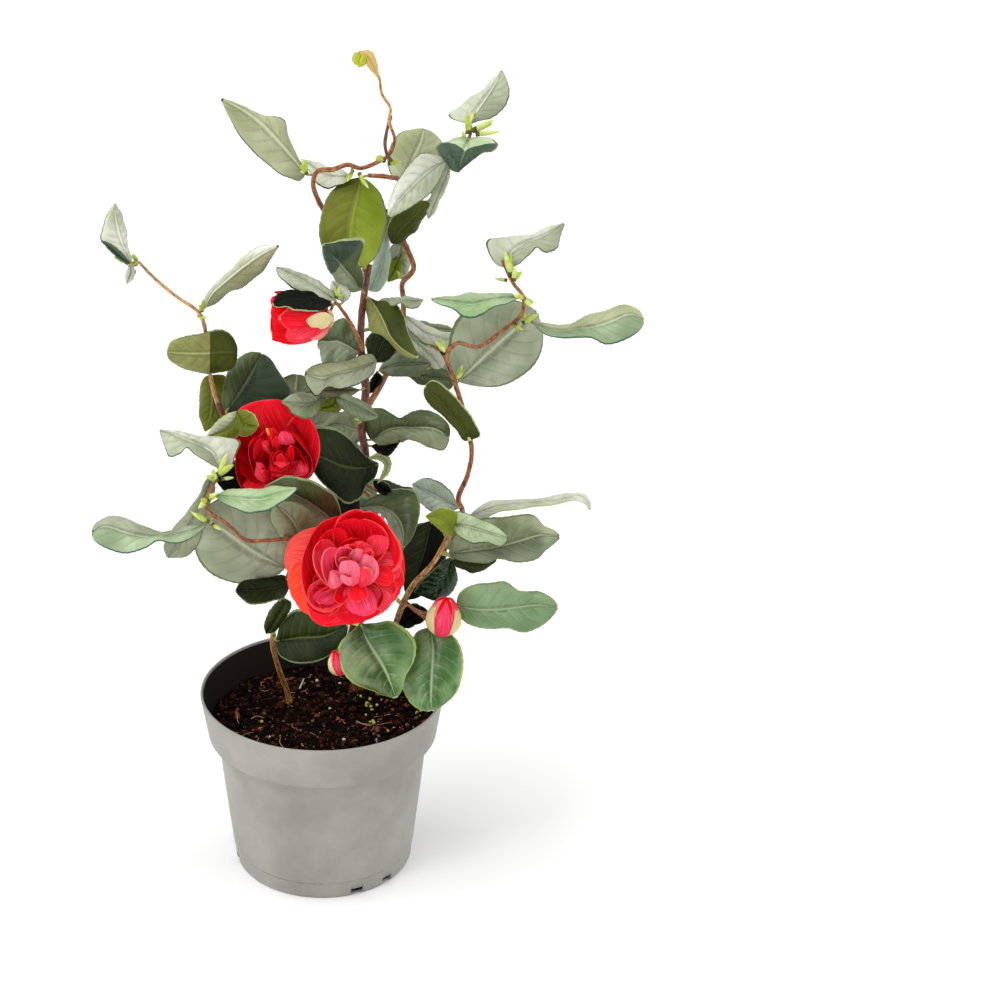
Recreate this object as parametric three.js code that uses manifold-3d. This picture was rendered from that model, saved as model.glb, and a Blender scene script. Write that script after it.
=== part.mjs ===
// A potted camellia shrub with twisting stems, in millimetres.
// +Z is up, +X is to the right of the front view and -Y faces the viewer.
// The origin is the centre of the flat underside of the pot.
import * as THREE from 'three';
import { mergeVertices } from 'three/addons/utils/BufferGeometryUtils.js';
import Module from 'manifold-3d';

const wasm = await Module();
wasm.setup();

// Pot: a 19 cm grower's pot with a wide rim band
const RIM_RADIUS = 95;
const POT_HEIGHT = 148;
const BAND_FOOT_Z = 112.3;
const BAND_FOOT_RADIUS = 89.9;
const WALL_TOP_RADIUS = 82.6;
const FOOT_RADIUS = 71.5;
const FOOT_LINE_Z = 14;
const FOOT_LINE_STEP = 0.7;
const POT_WALL = 2.2;
const POT_FLOOR = 2.8;
const EDGE_ROUND = 0.9;
const POT_SEGMENTS = 32;

// Drain slots at the bottom corner, in three pairs round the pot
const SLOT_WIDTH = 10;
const SLOT_HEIGHT = 6.5;
const SLOT_REACH = 9;
const SLOT_PAIRS = 3;
const SLOT_ANGLES = [22.7, 45.7];

// Compost inside the pot
const SOIL_LEVEL = 122;
const SOIL_DIP = 3.5;
const SOIL_RINGS = 5;

// Gap kept between pieces that touch, and a little more round a stem or a mass that cuts another
const GAP = 0.3;
const LIMB_CLEARANCE = 0.45;
const MASS_CLEARANCE = 0.4;

// Sections of the solids
const LIMB_SIDES = 6;
const LIMB_STEP = 15;
const LIMB_MIN_STEPS = 3;
const FLARE_LENGTH = 9;
const BLOOM_SIDES = 12;
const PAD_SIDES = 7;
const PAD_RINGS = 5;
const PAD_THICKNESS = 11;
const PAD_UNEVEN = 0.12;

const potPlastic = { color: 0xa6a096, roughness: 0.55, metalness: 0 };
const compost = { color: 0x1c1310, roughness: 0.95, metalness: 0 };
const youngBark = { color: 0x8a5a33, roughness: 0.6, metalness: 0 };
const foliage = { color: 0x5f7452, roughness: 0.45, metalness: 0 };
const darkFoliage = { color: 0x33452c, roughness: 0.4, metalness: 0 };
const petals = { color: 0xd01830, roughness: 0.6, metalness: 0 };

const shrub = new THREE.Group();

function addMesh(name, geometry, finish) {
  const mesh = new THREE.Mesh(geometry, new THREE.MeshStandardMaterial(finish));
  mesh.name = name;
  shrub.add(mesh);
}

// Solids for joining and cutting

function weld(geometry) {
  const bare = geometry.clone();
  bare.deleteAttribute('normal');
  bare.deleteAttribute('uv');
  return mergeVertices(bare, 1e-4);
}

function toSolid(geometry) {
  const welded = weld(geometry);
  const vertProperties = new Float32Array(welded.attributes.position.array);
  const triVerts = new Uint32Array(welded.index.array);
  return new wasm.Manifold(new wasm.Mesh({ numProp: 3, vertProperties, triVerts }));
}

function toGeometry(solid) {
  const cut = solid.getMesh();
  const geometry = new THREE.BufferGeometry();
  geometry.setAttribute('position', new THREE.BufferAttribute(new Float32Array(cut.vertProperties), 3));
  geometry.setIndex(new THREE.BufferAttribute(new Uint32Array(cut.triVerts), 1));
  geometry.computeVertexNormals();
  return geometry;
}

function largestBody(solid) {
  return solid.decompose().reduce((best, body) => (body.volume() > best.volume() ? body : best));
}

function boxesMeet(a, b) {
  const p = a.boundingBox();
  const q = b.boundingBox();
  return [0, 1, 2].every((k) => p.min[k] < q.max[k] && q.min[k] < p.max[k]);
}

// Pot and compost

function potGeometry() {
  const bandInnerFootZ = BAND_FOOT_Z + POT_WALL;
  const profile = [
    [0, 0],
    [FOOT_RADIUS - 2 * EDGE_ROUND, 0],
    [FOOT_RADIUS - FOOT_LINE_STEP, 2 * EDGE_ROUND],
    [FOOT_RADIUS, FOOT_LINE_Z],
    [FOOT_RADIUS + FOOT_LINE_STEP, FOOT_LINE_Z + EDGE_ROUND],
    [WALL_TOP_RADIUS, BAND_FOOT_Z],
    [BAND_FOOT_RADIUS - EDGE_ROUND, BAND_FOOT_Z],
    [BAND_FOOT_RADIUS, BAND_FOOT_Z + EDGE_ROUND],
    [RIM_RADIUS, POT_HEIGHT - EDGE_ROUND],
    [RIM_RADIUS - EDGE_ROUND, POT_HEIGHT],
    [RIM_RADIUS - POT_WALL, POT_HEIGHT],
    [BAND_FOOT_RADIUS - POT_WALL, bandInnerFootZ],
    [WALL_TOP_RADIUS - POT_WALL, bandInnerFootZ - EDGE_ROUND],
    [FOOT_RADIUS - POT_WALL, POT_FLOOR],
    [0, POT_FLOOR],
  ];
  const points = profile.map(([radius, z]) => new THREE.Vector2(radius, z));
  const lathe = new THREE.LatheGeometry(points, POT_SEGMENTS);
  lathe.rotateX(Math.PI / 2);
  return lathe;
}

function drainSlot(degrees) {
  const slot = new THREE.BoxGeometry(SLOT_REACH * 2, SLOT_WIDTH, SLOT_HEIGHT * 2);
  slot.translate(FOOT_RADIUS, 0, 0);
  slot.rotateZ(THREE.MathUtils.degToRad(degrees - 90));
  return toSolid(slot);
}

function makePot() {
  let pot = toSolid(potGeometry());
  for (let pair = 0; pair < SLOT_PAIRS; pair += 1) {
    for (const angle of SLOT_ANGLES) {
      pot = pot.subtract(drainSlot(angle + (pair * 360) / SLOT_PAIRS));
    }
  }
  addMesh('pot', toGeometry(pot), potPlastic);
}

// The compost's top is a few millimetres lower in places, and never above its level
function soilDip(x, y) {
  const waves = Math.sin(x * 0.09 + 1.3) * Math.cos(y * 0.11 - 0.6);
  return SOIL_DIP * (0.5 + 0.5 * waves);
}

function makeSoil() {
  const wallRadius = WALL_TOP_RADIUS - POT_WALL - 2 * GAP;
  const topRadius = BAND_FOOT_RADIUS - POT_WALL;
  const points = [
    [0, POT_FLOOR + GAP],
    [FOOT_RADIUS - POT_WALL - 2 * GAP, POT_FLOOR + GAP],
    [wallRadius, BAND_FOOT_Z],
    [wallRadius, BAND_FOOT_Z + POT_WALL + GAP],
    [topRadius - GAP, BAND_FOOT_Z + POT_WALL + GAP],
    [topRadius, SOIL_LEVEL],
  ].map(([radius, z]) => new THREE.Vector2(radius, z));
  for (let ring = SOIL_RINGS - 1; ring >= 0; ring -= 1) {
    points.push(new THREE.Vector2((topRadius * ring) / SOIL_RINGS, SOIL_LEVEL));
  }
  const lathe = new THREE.LatheGeometry(points, POT_SEGMENTS);
  lathe.rotateX(Math.PI / 2);
  const soil = weld(lathe);
  const place = soil.attributes.position;
  for (let i = 0; i < place.count; i += 1) {
    if (place.getZ(i) > SOIL_LEVEL - GAP) {
      place.setZ(i, SOIL_LEVEL - soilDip(place.getX(i), place.getY(i)));
    }
  }
  addMesh('soil', soil, compost);
}

// Stems: a tapering cylinder carried along a smooth curve through the bends

function ringFrames(curve, from, to, steps, grounded) {
  const frames = [];
  let side = new THREE.Vector3(1, 0, 0);
  for (let i = 0; i <= steps; i += 1) {
    const along = from + ((to - from) * i) / steps;
    const tangent = curve.getTangentAt(along);
    if (grounded && i === 0) tangent.set(0, 0, 1);
    side = side.clone().addScaledVector(tangent, -side.dot(tangent)).normalize();
    const across = new THREE.Vector3().crossVectors(side, tangent);
    frames.push({ centre: curve.getPointAt(along), side, across, along });
  }
  return frames;
}

function limbGeometry(stem, from, to, grow) {
  const { curve, thick, thin, flare } = stem;
  const length = curve.getLength() * (to - from);
  const steps = Math.max(LIMB_MIN_STEPS, Math.round(length / LIMB_STEP));
  const frames = ringFrames(curve, from, to, steps, stem.grounded && from === 0);
  const limb = new THREE.CylinderGeometry(1, 1, 1, LIMB_SIDES, steps);
  const place = limb.attributes.position;
  const point = new THREE.Vector3();
  for (let i = 0; i < place.count; i += 1) {
    const { centre, side, across, along } = frames[Math.round((place.getY(i) + 0.5) * steps)];
    const spread = along * curve.getLength();
    const radius = thick + (thin - thick) * along + flare * Math.exp(-spread / FLARE_LENGTH) + grow;
    point.copy(centre);
    point.addScaledVector(side, place.getX(i) * radius);
    point.addScaledVector(across, place.getZ(i) * radius);
    place.setXYZ(i, point.x, point.y, point.z);
  }
  return limb;
}

// Each stem's nodes are cut from one curve at the named places along it
const stems = [
  {
    names: ['trunk'],
    thick: 4.6,
    thin: 2.6,
    flare: 3.2,
    grounded: true,
    bends: [
      [29, 50, 122.3], [28, 45, 142], [23, 28, 172], [27, 12, 210], [22, 19, 245], [22, 17, 286],
      [31, 6, 325], [34, 0, 346], [31, -4, 368], [34, 6, 396], [31, 8, 423], [31, -6, 456], [36, 11, 488],
    ],
  },
  {
    names: ['leader_low', 'leader_high', 'leader_tip'],
    cuts: [0.42, 0.7],
    thick: 2.5,
    thin: 1.1,
    bends: [
      [35, 14, 492], [31, 20, 502], [19, 24, 513], [7, 18, 525], [1, 11, 536], [-3, 3, 552], [1, -5, 563],
      [11, -9, 565], [21, -4, 567], [31, 6, 562], [42, 10, 565], [50, 4, 572], [54, -7, 586], [50, -9, 599],
      [51, -2, 606], [45, 1, 616], [43, -2, 628], [36, -5, 638],
    ],
  },
  {
    names: ['inner_bough', 'inner_hook'],
    cuts: [0.72],
    thick: 2.4,
    thin: 1.6,
    bends: [
      [39, 13, 384], [43, 24, 388], [48, 36, 393], [54, 46, 404], [61, 52, 420], [62, 46, 451], [61, 40, 466],
      [69, 31, 481], [62, 40, 499], [59, 42, 514], [61, 34, 532], [62, 24, 547], [50, 12, 554], [36, 5, 557],
    ],
  },
  {
    names: ['right_stem_low', 'right_stem_high', 'right_crook'],
    cuts: [0.42, 0.72],
    thick: 3.6,
    thin: 1.4,
    flare: 1.6,
    grounded: true,
    bends: [
      [46, 38, 122.3], [46, 34, 136], [50, 10, 160], [52, 2, 182], [60, -10, 220], [69, -22, 248],
      [85, -36, 276], [96, -30, 295], [106, -14, 306], [103, -10, 314], [109, -22, 340], [111, -28, 362],
      [105, -15, 388], [98, -20, 412], [92, -30, 436], [98, -26, 443], [116, -10, 435], [132, 0, 443],
      [145, -8, 458], [146, -16, 474], [138, -10, 484], [131, -4, 498],
    ],
  },
  {
    names: ['left_stem', 'left_crook'],
    cuts: [0.62],
    thick: 3.0,
    thin: 1.3,
    flare: 1.4,
    grounded: true,
    bends: [
      [-26, 26, 122.3], [-29, 23, 134], [-35, 11, 162], [-38, 0, 191], [-33, -14, 222], [-25, -32, 258],
      [-16, -52, 294], [-21, -62, 306], [-36, -74, 311], [-51, -80, 314], [-65, -82, 328], [-78, -88, 343],
      [-74, -80, 355], [-68, -74, 369],
    ],
  },
  {
    names: ['left_bough', 'left_bough_tip'],
    cuts: [0.66],
    thick: 2.6,
    thin: 1.2,
    bends: [
      [17, 19, 302], [-1, 28, 305], [-16, 32, 312], [-31, 32, 322], [-57, 20, 350], [-72, 6, 376],
      [-79, 14, 395], [-83, 16, 419], [-82, 6, 438], [-86, -4, 459], [-101, 2, 468], [-118, 12, 479],
      [-128, 4, 494],
    ],
  },
  {
    names: ['back_left_bough'],
    thick: 2.4,
    thin: 1.4,
    bends: [[20, 25, 272], [8, 44, 280], [-8, 62, 286], [-22, 84, 300], [-30, 100, 320]],
  },
  {
    names: ['back_right_bough'],
    thick: 2.2,
    thin: 1.3,
    bends: [[65, 57, 424], [72, 68, 416], [76, 84, 404], [86, 96, 398], [94, 100, 384]],
  },
  {
    names: ['back_low_bough'],
    thick: 2.4,
    thin: 1.4,
    bends: [[29, 20, 226], [36, 40, 234], [40, 62, 236], [46, 80, 250], [50, 96, 268]],
  },
];

const limbSolids = [];

function makeStems() {
  for (const stem of stems) {
    stem.flare = stem.flare ?? 0;
    stem.curve = new THREE.CatmullRomCurve3(stem.bends.map((bend) => new THREE.Vector3(...bend)));
    stem.curve.arcLengthDivisions = 600;
    const ends = [0, ...(stem.cuts ?? []), 1];
    const halfGap = GAP / 2 / stem.curve.getLength();
    stem.names.forEach((name, i) => {
      const from = ends[i] + (i === 0 ? 0 : halfGap);
      const to = ends[i + 1] - (i === stem.names.length - 1 ? 0 : halfGap);
      addMesh(name, limbGeometry(stem, from, to, 0), youngBark);
      limbSolids.push(toSolid(limbGeometry(stem, from, to, LIMB_CLEARANCE)));
    });
  }
}

// Foliage: thin uneven pads, each the space of one or two large leaves

function padGeometry(pad, grow) {
  const start = new THREE.Vector3(...pad.from);
  const end = new THREE.Vector3(...pad.to);
  const axis = end.clone().sub(start).normalize();
  const centre = start.clone().add(end).multiplyScalar(0.5);
  const halfLength = start.distanceTo(end) / 2 + grow;
  const face = new THREE.Vector3(...pad.face);
  face.addScaledVector(axis, -face.dot(axis)).normalize();
  const across = new THREE.Vector3().crossVectors(axis, face);
  const ball = new THREE.SphereGeometry(1, PAD_SIDES, PAD_RINGS);
  const place = ball.attributes.position;
  const point = new THREE.Vector3();
  const phase = pad.from[0] * 0.37 + pad.to[2] * 0.21;
  for (let i = 0; i < place.count; i += 1) {
    const turn = Math.atan2(place.getZ(i), place.getX(i));
    const lump = 1 + PAD_UNEVEN * Math.sin(2 * turn + phase + 3 * place.getY(i));
    point.copy(centre);
    point.addScaledVector(axis, place.getY(i) * halfLength);
    point.addScaledVector(across, place.getX(i) * (pad.width / 2 + grow) * lump);
    point.addScaledVector(face, place.getZ(i) * ((pad.thick ?? PAD_THICKNESS) / 2 + grow) * lump);
    place.setXYZ(i, point.x, point.y, point.z);
  }
  return ball;
}

function joinPads(pads, grow) {
  return pads.map((pad) => toSolid(padGeometry(pad, grow))).reduce((sum, pad) => sum.add(pad));
}

const crownSolids = [];

// A mass or bloom is cut back from the stems and from the masses made before it
function addToCrown(name, plain, grown, finish) {
  let solid = plain;
  for (const other of [...limbSolids, ...crownSolids]) {
    if (boxesMeet(solid, other)) solid = solid.subtract(other);
  }
  crownSolids.push(grown);
  addMesh(name, toGeometry(largestBody(solid)), finish);
}

const towardsViewer = [0, -1, 0.4];
const level = [0, -0.2, 1];
const tilted = [0, -0.6, 1];

const masses = {
  leaves_crown_left: [{ from: [-8, -3, 563], to: [-64, -20, 618], width: 40, face: [0.3, -1, 0.3] }],
  leaves_crown_front: [
    { from: [28, -6, 561], to: [33, -34, 503], width: 46, face: [0, -1, 0.5] },
    { from: [30, -2, 562], to: [-13, 34, 560], width: 30, face: tilted },
  ],
  leaves_crown_back: [{ from: [64, 30, 551], to: [74, 66, 576], width: 42, face: [0, -1, 0.2] }],
  leaves_crown_right: [
    { from: [93, -2, 571], to: [49, -22, 538], width: 28, face: [-0.4, -1, 0.6] },
    { from: [92, 2, 569], to: [80, 20, 521], width: 24, face: [-1, -0.6, 0.3] },
    { from: [63, 36, 502], to: [82, 6, 540], width: 34, face: [-0.2, -1, 0.5] },
  ],
  leaves_top_right: [
    { from: [104, -6, 586], to: [128, 12, 628], width: 38, face: [-0.6, -1, -0.2] },
    { from: [106, 0, 590], to: [97, -46, 574], width: 44, face: level },
  ],
  leaves_collar_left: [{ from: [30, -2, 478], to: [4, -24, 515], width: 36, face: [-0.3, -1, 0.5] }],
  leaves_collar_right: [
    { from: [50, 38, 502], to: [39, 32, 462], width: 26, face: towardsViewer },
    { from: [60, 42, 499], to: [61, 66, 462], width: 30, face: [0, -1, 0.6] },
    { from: [44, 38, 486], to: [66, 58, 486], width: 20, face: towardsViewer },
  ],
  leaves_side: [
    { from: [14, -28, 476], to: [-28, -42, 506], width: 30, face: level },
    { from: [14, -32, 476], to: [-30, -74, 490], width: 32, face: level },
  ],
  leaves_inner_right: [
    { from: [36, -6, 464], to: [73, -50, 441], width: 34, face: [0.5, -0.7, 0.8] },
    { from: [38, -8, 464], to: [76, -20, 470], width: 22, face: level },
    { from: [66, 48, 433], to: [98, 20, 427], width: 26, face: tilted },
    { from: [60, 44, 424], to: [88, 2, 411], width: 26, face: tilted },
    { from: [56, -26, 452], to: [84, 4, 418], width: 22, face: towardsViewer },
  ],
  leaves_inner_low: [
    { from: [42, 22, 420], to: [4, 34, 439], width: 38, face: towardsViewer },
    { from: [30, 18, 421], to: [56, 34, 431], width: 32, face: towardsViewer },
    { from: [44, 36, 404], to: [82, 8, 417], width: 32, face: tilted },
    { from: [48, 28, 408], to: [98, 52, 383], width: 30, face: tilted },
  ],
  leaves_right_round: [
    { from: [103, -16, 413], to: [156, 24, 451], width: 58, face: [-0.1, -1, 0.4] },
    { from: [143, -18, 473], to: [80, -40, 481], width: 36, face: level },
    { from: [128, -24, 474], to: [132, 4, 446], width: 18, face: [1, 0, 0] },
  ],
  leaves_right_top: [{ from: [132, -5, 498], to: [176, 18, 518], width: 44, face: tilted }],
  leaves_right_tip: [{ from: [150, -9, 455], to: [232, -22, 458], width: 32, face: level }],
  leaves_right_olive: [{ from: [109, -31, 368], to: [76, -50, 422], width: 28, face: [0.4, -1, 0.9] }],
  leaves_centre_left: [
    { from: [29, 0, 399], to: [-9, -44, 426], width: 36, face: tilted },
    { from: [18, -14, 398], to: [-25, -56, 411], width: 32, face: tilted },
    { from: [6, -22, 400], to: [43, -50, 397], width: 28, face: tilted },
  ],
  leaves_centre_dark: [
    { from: [36, -4, 346], to: [12, -52, 324], width: 48, face: [0.1, -1, 0.7] },
    { from: [28, -8, 356], to: [4, 20, 360], width: 34, face: towardsViewer },
  ],
  leaves_centre_right: [{ from: [36, -6, 366], to: [95, -34, 372], width: 42, face: tilted }],
  leaves_left_tip: [{ from: [-130, 2, 490], to: [-144, 18, 533], width: 32, face: [-0.6, -1, -0.1] }],
  leaves_left_arm: [{ from: [-82, -5, 462], to: [-27, -22, 512], width: 28, face: [0.2, -0.7, 0.6] }],
  leaves_left_cup: [
    { from: [-82, 20, 405], to: [-88, 72, 416], width: 48, face: level },
    { from: [-82, 24, 409], to: [-87, 40, 350], width: 34, face: [0, -1, 0.2] },
  ],
  leaves_left_dark: [
    { from: [-68, 8, 370], to: [-43, 34, 418], width: 46, face: towardsViewer },
    { from: [-66, 10, 376], to: [-49, -50, 386], width: 34, face: level },
  ],
  leaves_low_left_top: [{ from: [-66, -76, 372], to: [-112, -62, 392], width: 42, face: [-0.1, -0.6, 1] }],
  leaves_low_left_shelf: [{ from: [-72, -85, 351], to: [-13, -106, 366], width: 36, face: level }],
  leaves_low_left_round: [
    { from: [-24, -36, 261], to: [-80, -66, 333], width: 58, face: towardsViewer },
    { from: [-72, -70, 342], to: [-110, -54, 289], width: 36, face: [0.3, -1, 0.2] },
  ],
  leaves_low_left_tip: [{ from: [-82, -89, 333], to: [-161, -84, 320], width: 32, face: level }],
  leaves_front_left: [
    { from: [16, -25, 300], to: [-39, -64, 348], width: 42, face: tilted },
    { from: [-8, -52, 298], to: [-26, -72, 342], width: 30, face: [-0.2, -1, 0.6] },
  ],
  leaves_low_left_dark: [
    { from: [-24, -30, 252], to: [-59, -72, 269], width: 38, face: level },
    { from: [-28, -24, 252], to: [-42, -8, 202], width: 26, face: [-0.6, -1, 0.2] },
    { from: [-38, -6, 206], to: [22, -50, 220], width: 42, face: [0, -1, 0.9] },
  ],
  leaves_heart_right: [
    { from: [24, 6, 300], to: [68, -43, 299], width: 44, face: [0.1, -0.9, 0.8] },
    { from: [104, -6, 310], to: [69, 24, 311], width: 36, face: tilted },
    { from: [60, -30, 300], to: [82, 20, 308], width: 20, face: level },
  ],
  leaves_right_low_long: [{ from: [111, -17, 304], to: [198, -34, 317], width: 24, face: level }],
  leaves_right_low: [
    { from: [94, -37, 283], to: [173, -66, 311], width: 44, face: tilted },
    { from: [98, -33, 296], to: [136, -84, 318], width: 32, face: level },
  ],
  leaves_right_low_dark: [
    { from: [84, -28, 276], to: [64, 6, 230], width: 36, face: towardsViewer },
    { from: [86, -26, 276], to: [84, -12, 234], width: 34, face: towardsViewer },
  ],
  leaves_low_right: [{ from: [64, -20, 232], to: [175, -62, 251], width: 40, face: [0, -0.9, 1] }],
  leaves_front_low: [
    { from: [30, -46, 231], to: [55, -79, 184], width: 52, face: [0.1, -0.8, 1] },
    { from: [80, -34, 220], to: [83, -78, 172], width: 46, face: [0.1, -0.9, 0.7] },
    { from: [40, -52, 212], to: [92, -54, 200], width: 26, face: tilted },
  ],
  leaves_back_left: [
    { from: [-26, 92, 314], to: [-72, 120, 352], width: 50, face: [0, 1, 0.6] },
    { from: [-24, 98, 316], to: [-50, 148, 306], width: 46, face: [0, 0.5, 1] },
    { from: [-26, 94, 316], to: [-20, 118, 366], width: 44, face: [0, 1, 0.1] },
  ],
  leaves_back_low_left: [
    { from: [-10, 66, 284], to: [-74, 96, 252], width: 50, face: [-0.2, 1, 0.6] },
    { from: [-12, 70, 286], to: [-34, 128, 250], width: 48, face: [0, 0.6, 1] },
    { from: [-14, 66, 284], to: [-78, 54, 270], width: 44, face: [0, 0.4, 1] },
  ],
  leaves_back_centre: [
    { from: [44, 88, 262], to: [6, 124, 300], width: 48, face: [0, 1, 0.5] },
    { from: [50, 94, 266], to: [52, 146, 258], width: 46, face: [0, 0.5, 1] },
    { from: [44, 84, 256], to: [20, 112, 208], width: 46, face: [0, 1, 0.5] },
  ],
  leaves_back_right: [
    { from: [86, 94, 398], to: [142, 112, 384], width: 50, face: [0, 0.8, 1] },
    { from: [82, 92, 402], to: [58, 142, 392], width: 48, face: [0, 0.5, 1] },
    { from: [90, 98, 394], to: [116, 138, 360], width: 46, face: [0, 1, 0.8] },
  ],
  leaves_back_low_right: [
    { from: [46, 74, 246], to: [104, 88, 236], width: 50, face: [0, 0.8, 1] },
    { from: [44, 68, 240], to: [88, 116, 202], width: 46, face: [0.2, 1, 0.6] },
  ],
  leaves_back_top: [
    { from: [17, 28, 512], to: [28, 84, 506], width: 46, face: [0, 0.5, 1] },
    { from: [14, 30, 512], to: [-8, 72, 482], width: 42, face: [0, 1, 0.4] },
  ],
};

const darkMasses = ['leaves_left_dark', 'leaves_centre_dark', 'leaves_low_left_dark', 'leaves_right_low_dark'];

function makeFoliage() {
  for (const [name, pads] of Object.entries(masses)) {
    const finish = darkMasses.includes(name) ? darkFoliage : foliage;
    addToCrown(name, joinPads(pads, 0), joinPads(pads, MASS_CLEARANCE), finish);
  }
}

// Blooms: a full dome of petals on a shallow back, turned to the way the flower looks

const blooms = [
  { name: 'bloom_front', centre: [18, -82, 263], radius: 42, depth: 38, looks: [0, -1, 0.45] },
  { name: 'bloom_left', centre: [-32, -44, 345], radius: 32, depth: 32, looks: [0.1, -1, 0.4] },
  { name: 'bloom_side', centre: [-8, -46, 457], radius: 17, depth: 42, looks: [-1, -0.15, -0.1] },
];

function bloomGeometry(bloom, grow) {
  const half = bloom.depth / 2;
  const profile = [
    [0, -half - grow],
    [bloom.radius * 0.45 + grow, -half * 0.8 - grow],
    [bloom.radius + grow, -half * 0.05],
    [bloom.radius * 0.93 + grow, half * 0.45],
    [bloom.radius * 0.6 + grow, half * 0.9 + grow],
    [0, half + grow],
  ].map(([radius, z]) => new THREE.Vector2(radius, z));
  const lathe = new THREE.LatheGeometry(profile, BLOOM_SIDES);
  const turn = new THREE.Quaternion();
  turn.setFromUnitVectors(new THREE.Vector3(0, 1, 0), new THREE.Vector3(...bloom.looks).normalize());
  lathe.applyQuaternion(turn);
  lathe.translate(...bloom.centre);
  return lathe;
}

function makeBlooms() {
  for (const bloom of blooms) {
    const grown = toSolid(bloomGeometry(bloom, MASS_CLEARANCE));
    addToCrown(bloom.name, toSolid(bloomGeometry(bloom, 0)), grown, petals);
  }
}

makePot();
makeSoil();
makeStems();
makeBlooms();
makeFoliage();

export default shrub;
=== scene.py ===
"""A potted camellia shrub: twisting bark-covered stems, separate leaves, ruffled blooms, a worn
grower's pot and loose compost. Shapes are worked out in millimetres and written in metres."""
import math

import bpy
import numpy as np
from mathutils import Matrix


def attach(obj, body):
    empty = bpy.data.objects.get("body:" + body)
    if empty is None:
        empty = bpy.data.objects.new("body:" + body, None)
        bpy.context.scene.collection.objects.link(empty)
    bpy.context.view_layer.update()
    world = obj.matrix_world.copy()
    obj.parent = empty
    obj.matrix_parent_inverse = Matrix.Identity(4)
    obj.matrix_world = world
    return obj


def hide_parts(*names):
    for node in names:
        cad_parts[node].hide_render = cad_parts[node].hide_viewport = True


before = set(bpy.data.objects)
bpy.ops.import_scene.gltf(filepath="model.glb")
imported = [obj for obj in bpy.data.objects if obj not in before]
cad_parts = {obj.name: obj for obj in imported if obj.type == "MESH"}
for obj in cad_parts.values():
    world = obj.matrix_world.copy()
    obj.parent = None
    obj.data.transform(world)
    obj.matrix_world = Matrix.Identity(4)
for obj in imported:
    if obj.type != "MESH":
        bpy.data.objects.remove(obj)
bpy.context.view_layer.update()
chance = np.random.default_rng(20)
MM = 0.001
FULL_TURN = 2 * math.pi

# Camera, read off the pot's rim and foot in the photo, which is 1000 pixels square
CAMERA_PLACE = np.array([33.5, -1386.0, 932.3])
CAMERA_PITCH = math.radians(24.2)
FOCAL_PIXELS = 2026.0
AXIS_X = 365.0
AXIS_Y = 500.0
PHOTO_SIDE = 1000.0
SENSOR_WIDTH = 36.0
RIGHT = np.array([1.0, 0.0, 0.0])
AHEAD = np.array([0.0, math.cos(CAMERA_PITCH), -math.sin(CAMERA_PITCH)])
ABOVE = np.array([0.0, math.sin(CAMERA_PITCH), math.cos(CAMERA_PITCH)])


def rays(x, y):
    """The camera's rays through photo points (x, y), each one unit long along the view."""
    x, y = (np.asarray(values, float)[..., None] for values in (x, y))
    return AHEAD + RIGHT * (x - AXIS_X) / FOCAL_PIXELS - ABOVE * (y - AXIS_Y) / FOCAL_PIXELS


def sight(x, y, depth):
    """The places in mm that photo points (x, y) show on the upright planes Y = depth: the camera's
    place plus the ray through each point, as long as it takes to reach the plane."""
    ray = rays(x, y)
    return CAMERA_PLACE + ray * (np.asarray(depth, float)[..., None] - CAMERA_PLACE[1]) / ray[..., 1:2]


def seen(right, up, near):
    """A direction given as the front view shows it: to its right, up it, and towards the viewer."""
    way = right * RIGHT + up * ABOVE - near * AHEAD
    return way / np.linalg.norm(way)


# Lines and surfaces

TWIG_STEP = 2.0


def unit(vectors):
    """Each vector divided by its length."""
    return vectors / np.maximum(np.linalg.norm(vectors, axis=-1, keepdims=True), 1e-9)


def smooth_line(bends, count=None, step=TWIG_STEP):
    """Evenly spaced points on the smooth curve through the bends: between two bends a cubic whose end
    slopes are the centripetal Catmull-Rom ones. The ends are drawn out as mirror images."""
    knots = np.array(bends, float)
    knots = np.vstack([2 * knots[0] - knots[1], knots, 2 * knots[-1] - knots[-2]])
    gaps = np.sqrt(np.linalg.norm(np.diff(knots, axis=0), axis=1))[:, None]
    p0, p1, p2, p3 = knots[:-3], knots[1:-2], knots[2:-1], knots[3:]
    d0, d1, d2 = gaps[:-2], gaps[1:-1], gaps[2:]
    start = d1 * ((p1 - p0) / d0 - (p2 - p0) / (d0 + d1) + (p2 - p1) / d1)
    end = d1 * ((p2 - p1) / d1 - (p3 - p1) / (d1 + d2) + (p3 - p2) / d2)
    t = np.linspace(0, 1, 40, endpoint=False)[:, None, None]
    cubic = (2 * (p1 - p2) + start + end) * t**3 + (3 * (p2 - p1) - 2 * start - end) * t**2
    fine = np.vstack([(cubic + start * t + p1).transpose(1, 0, 2).reshape(-1, 3), knots[-2]])
    run = np.concatenate([[0], np.cumsum(np.linalg.norm(np.diff(fine, axis=0), axis=1))])
    count = count or max(6, int(run[-1] / step))
    at = np.linspace(0, run[-1], count)
    return np.stack([np.interp(at, run, fine[:, k]) for k in range(3)], 1)


def along(values, at):
    """Rows of values, evenly spread from 0 to 1, blended at the given places."""
    place = np.clip(at, 0, 1) * (len(values) - 1)
    low = np.minimum(place.astype(int), len(values) - 2)
    share = (place - low)[..., None]
    return values[low] * (1 - share) + values[low + 1] * share


def carried_frames(line):
    """Two unit vectors square to the line at each point, carried along it with no twist."""
    tangent = unit(np.gradient(line, axis=0))
    first = np.cross(tangent[0], seen(0.3, 0.2, 1))
    side = np.empty_like(line)
    for i, way in enumerate(tangent):
        first = unit(first - way * (first @ way))
        side[i] = first
    return side, np.cross(tangent, side)


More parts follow.
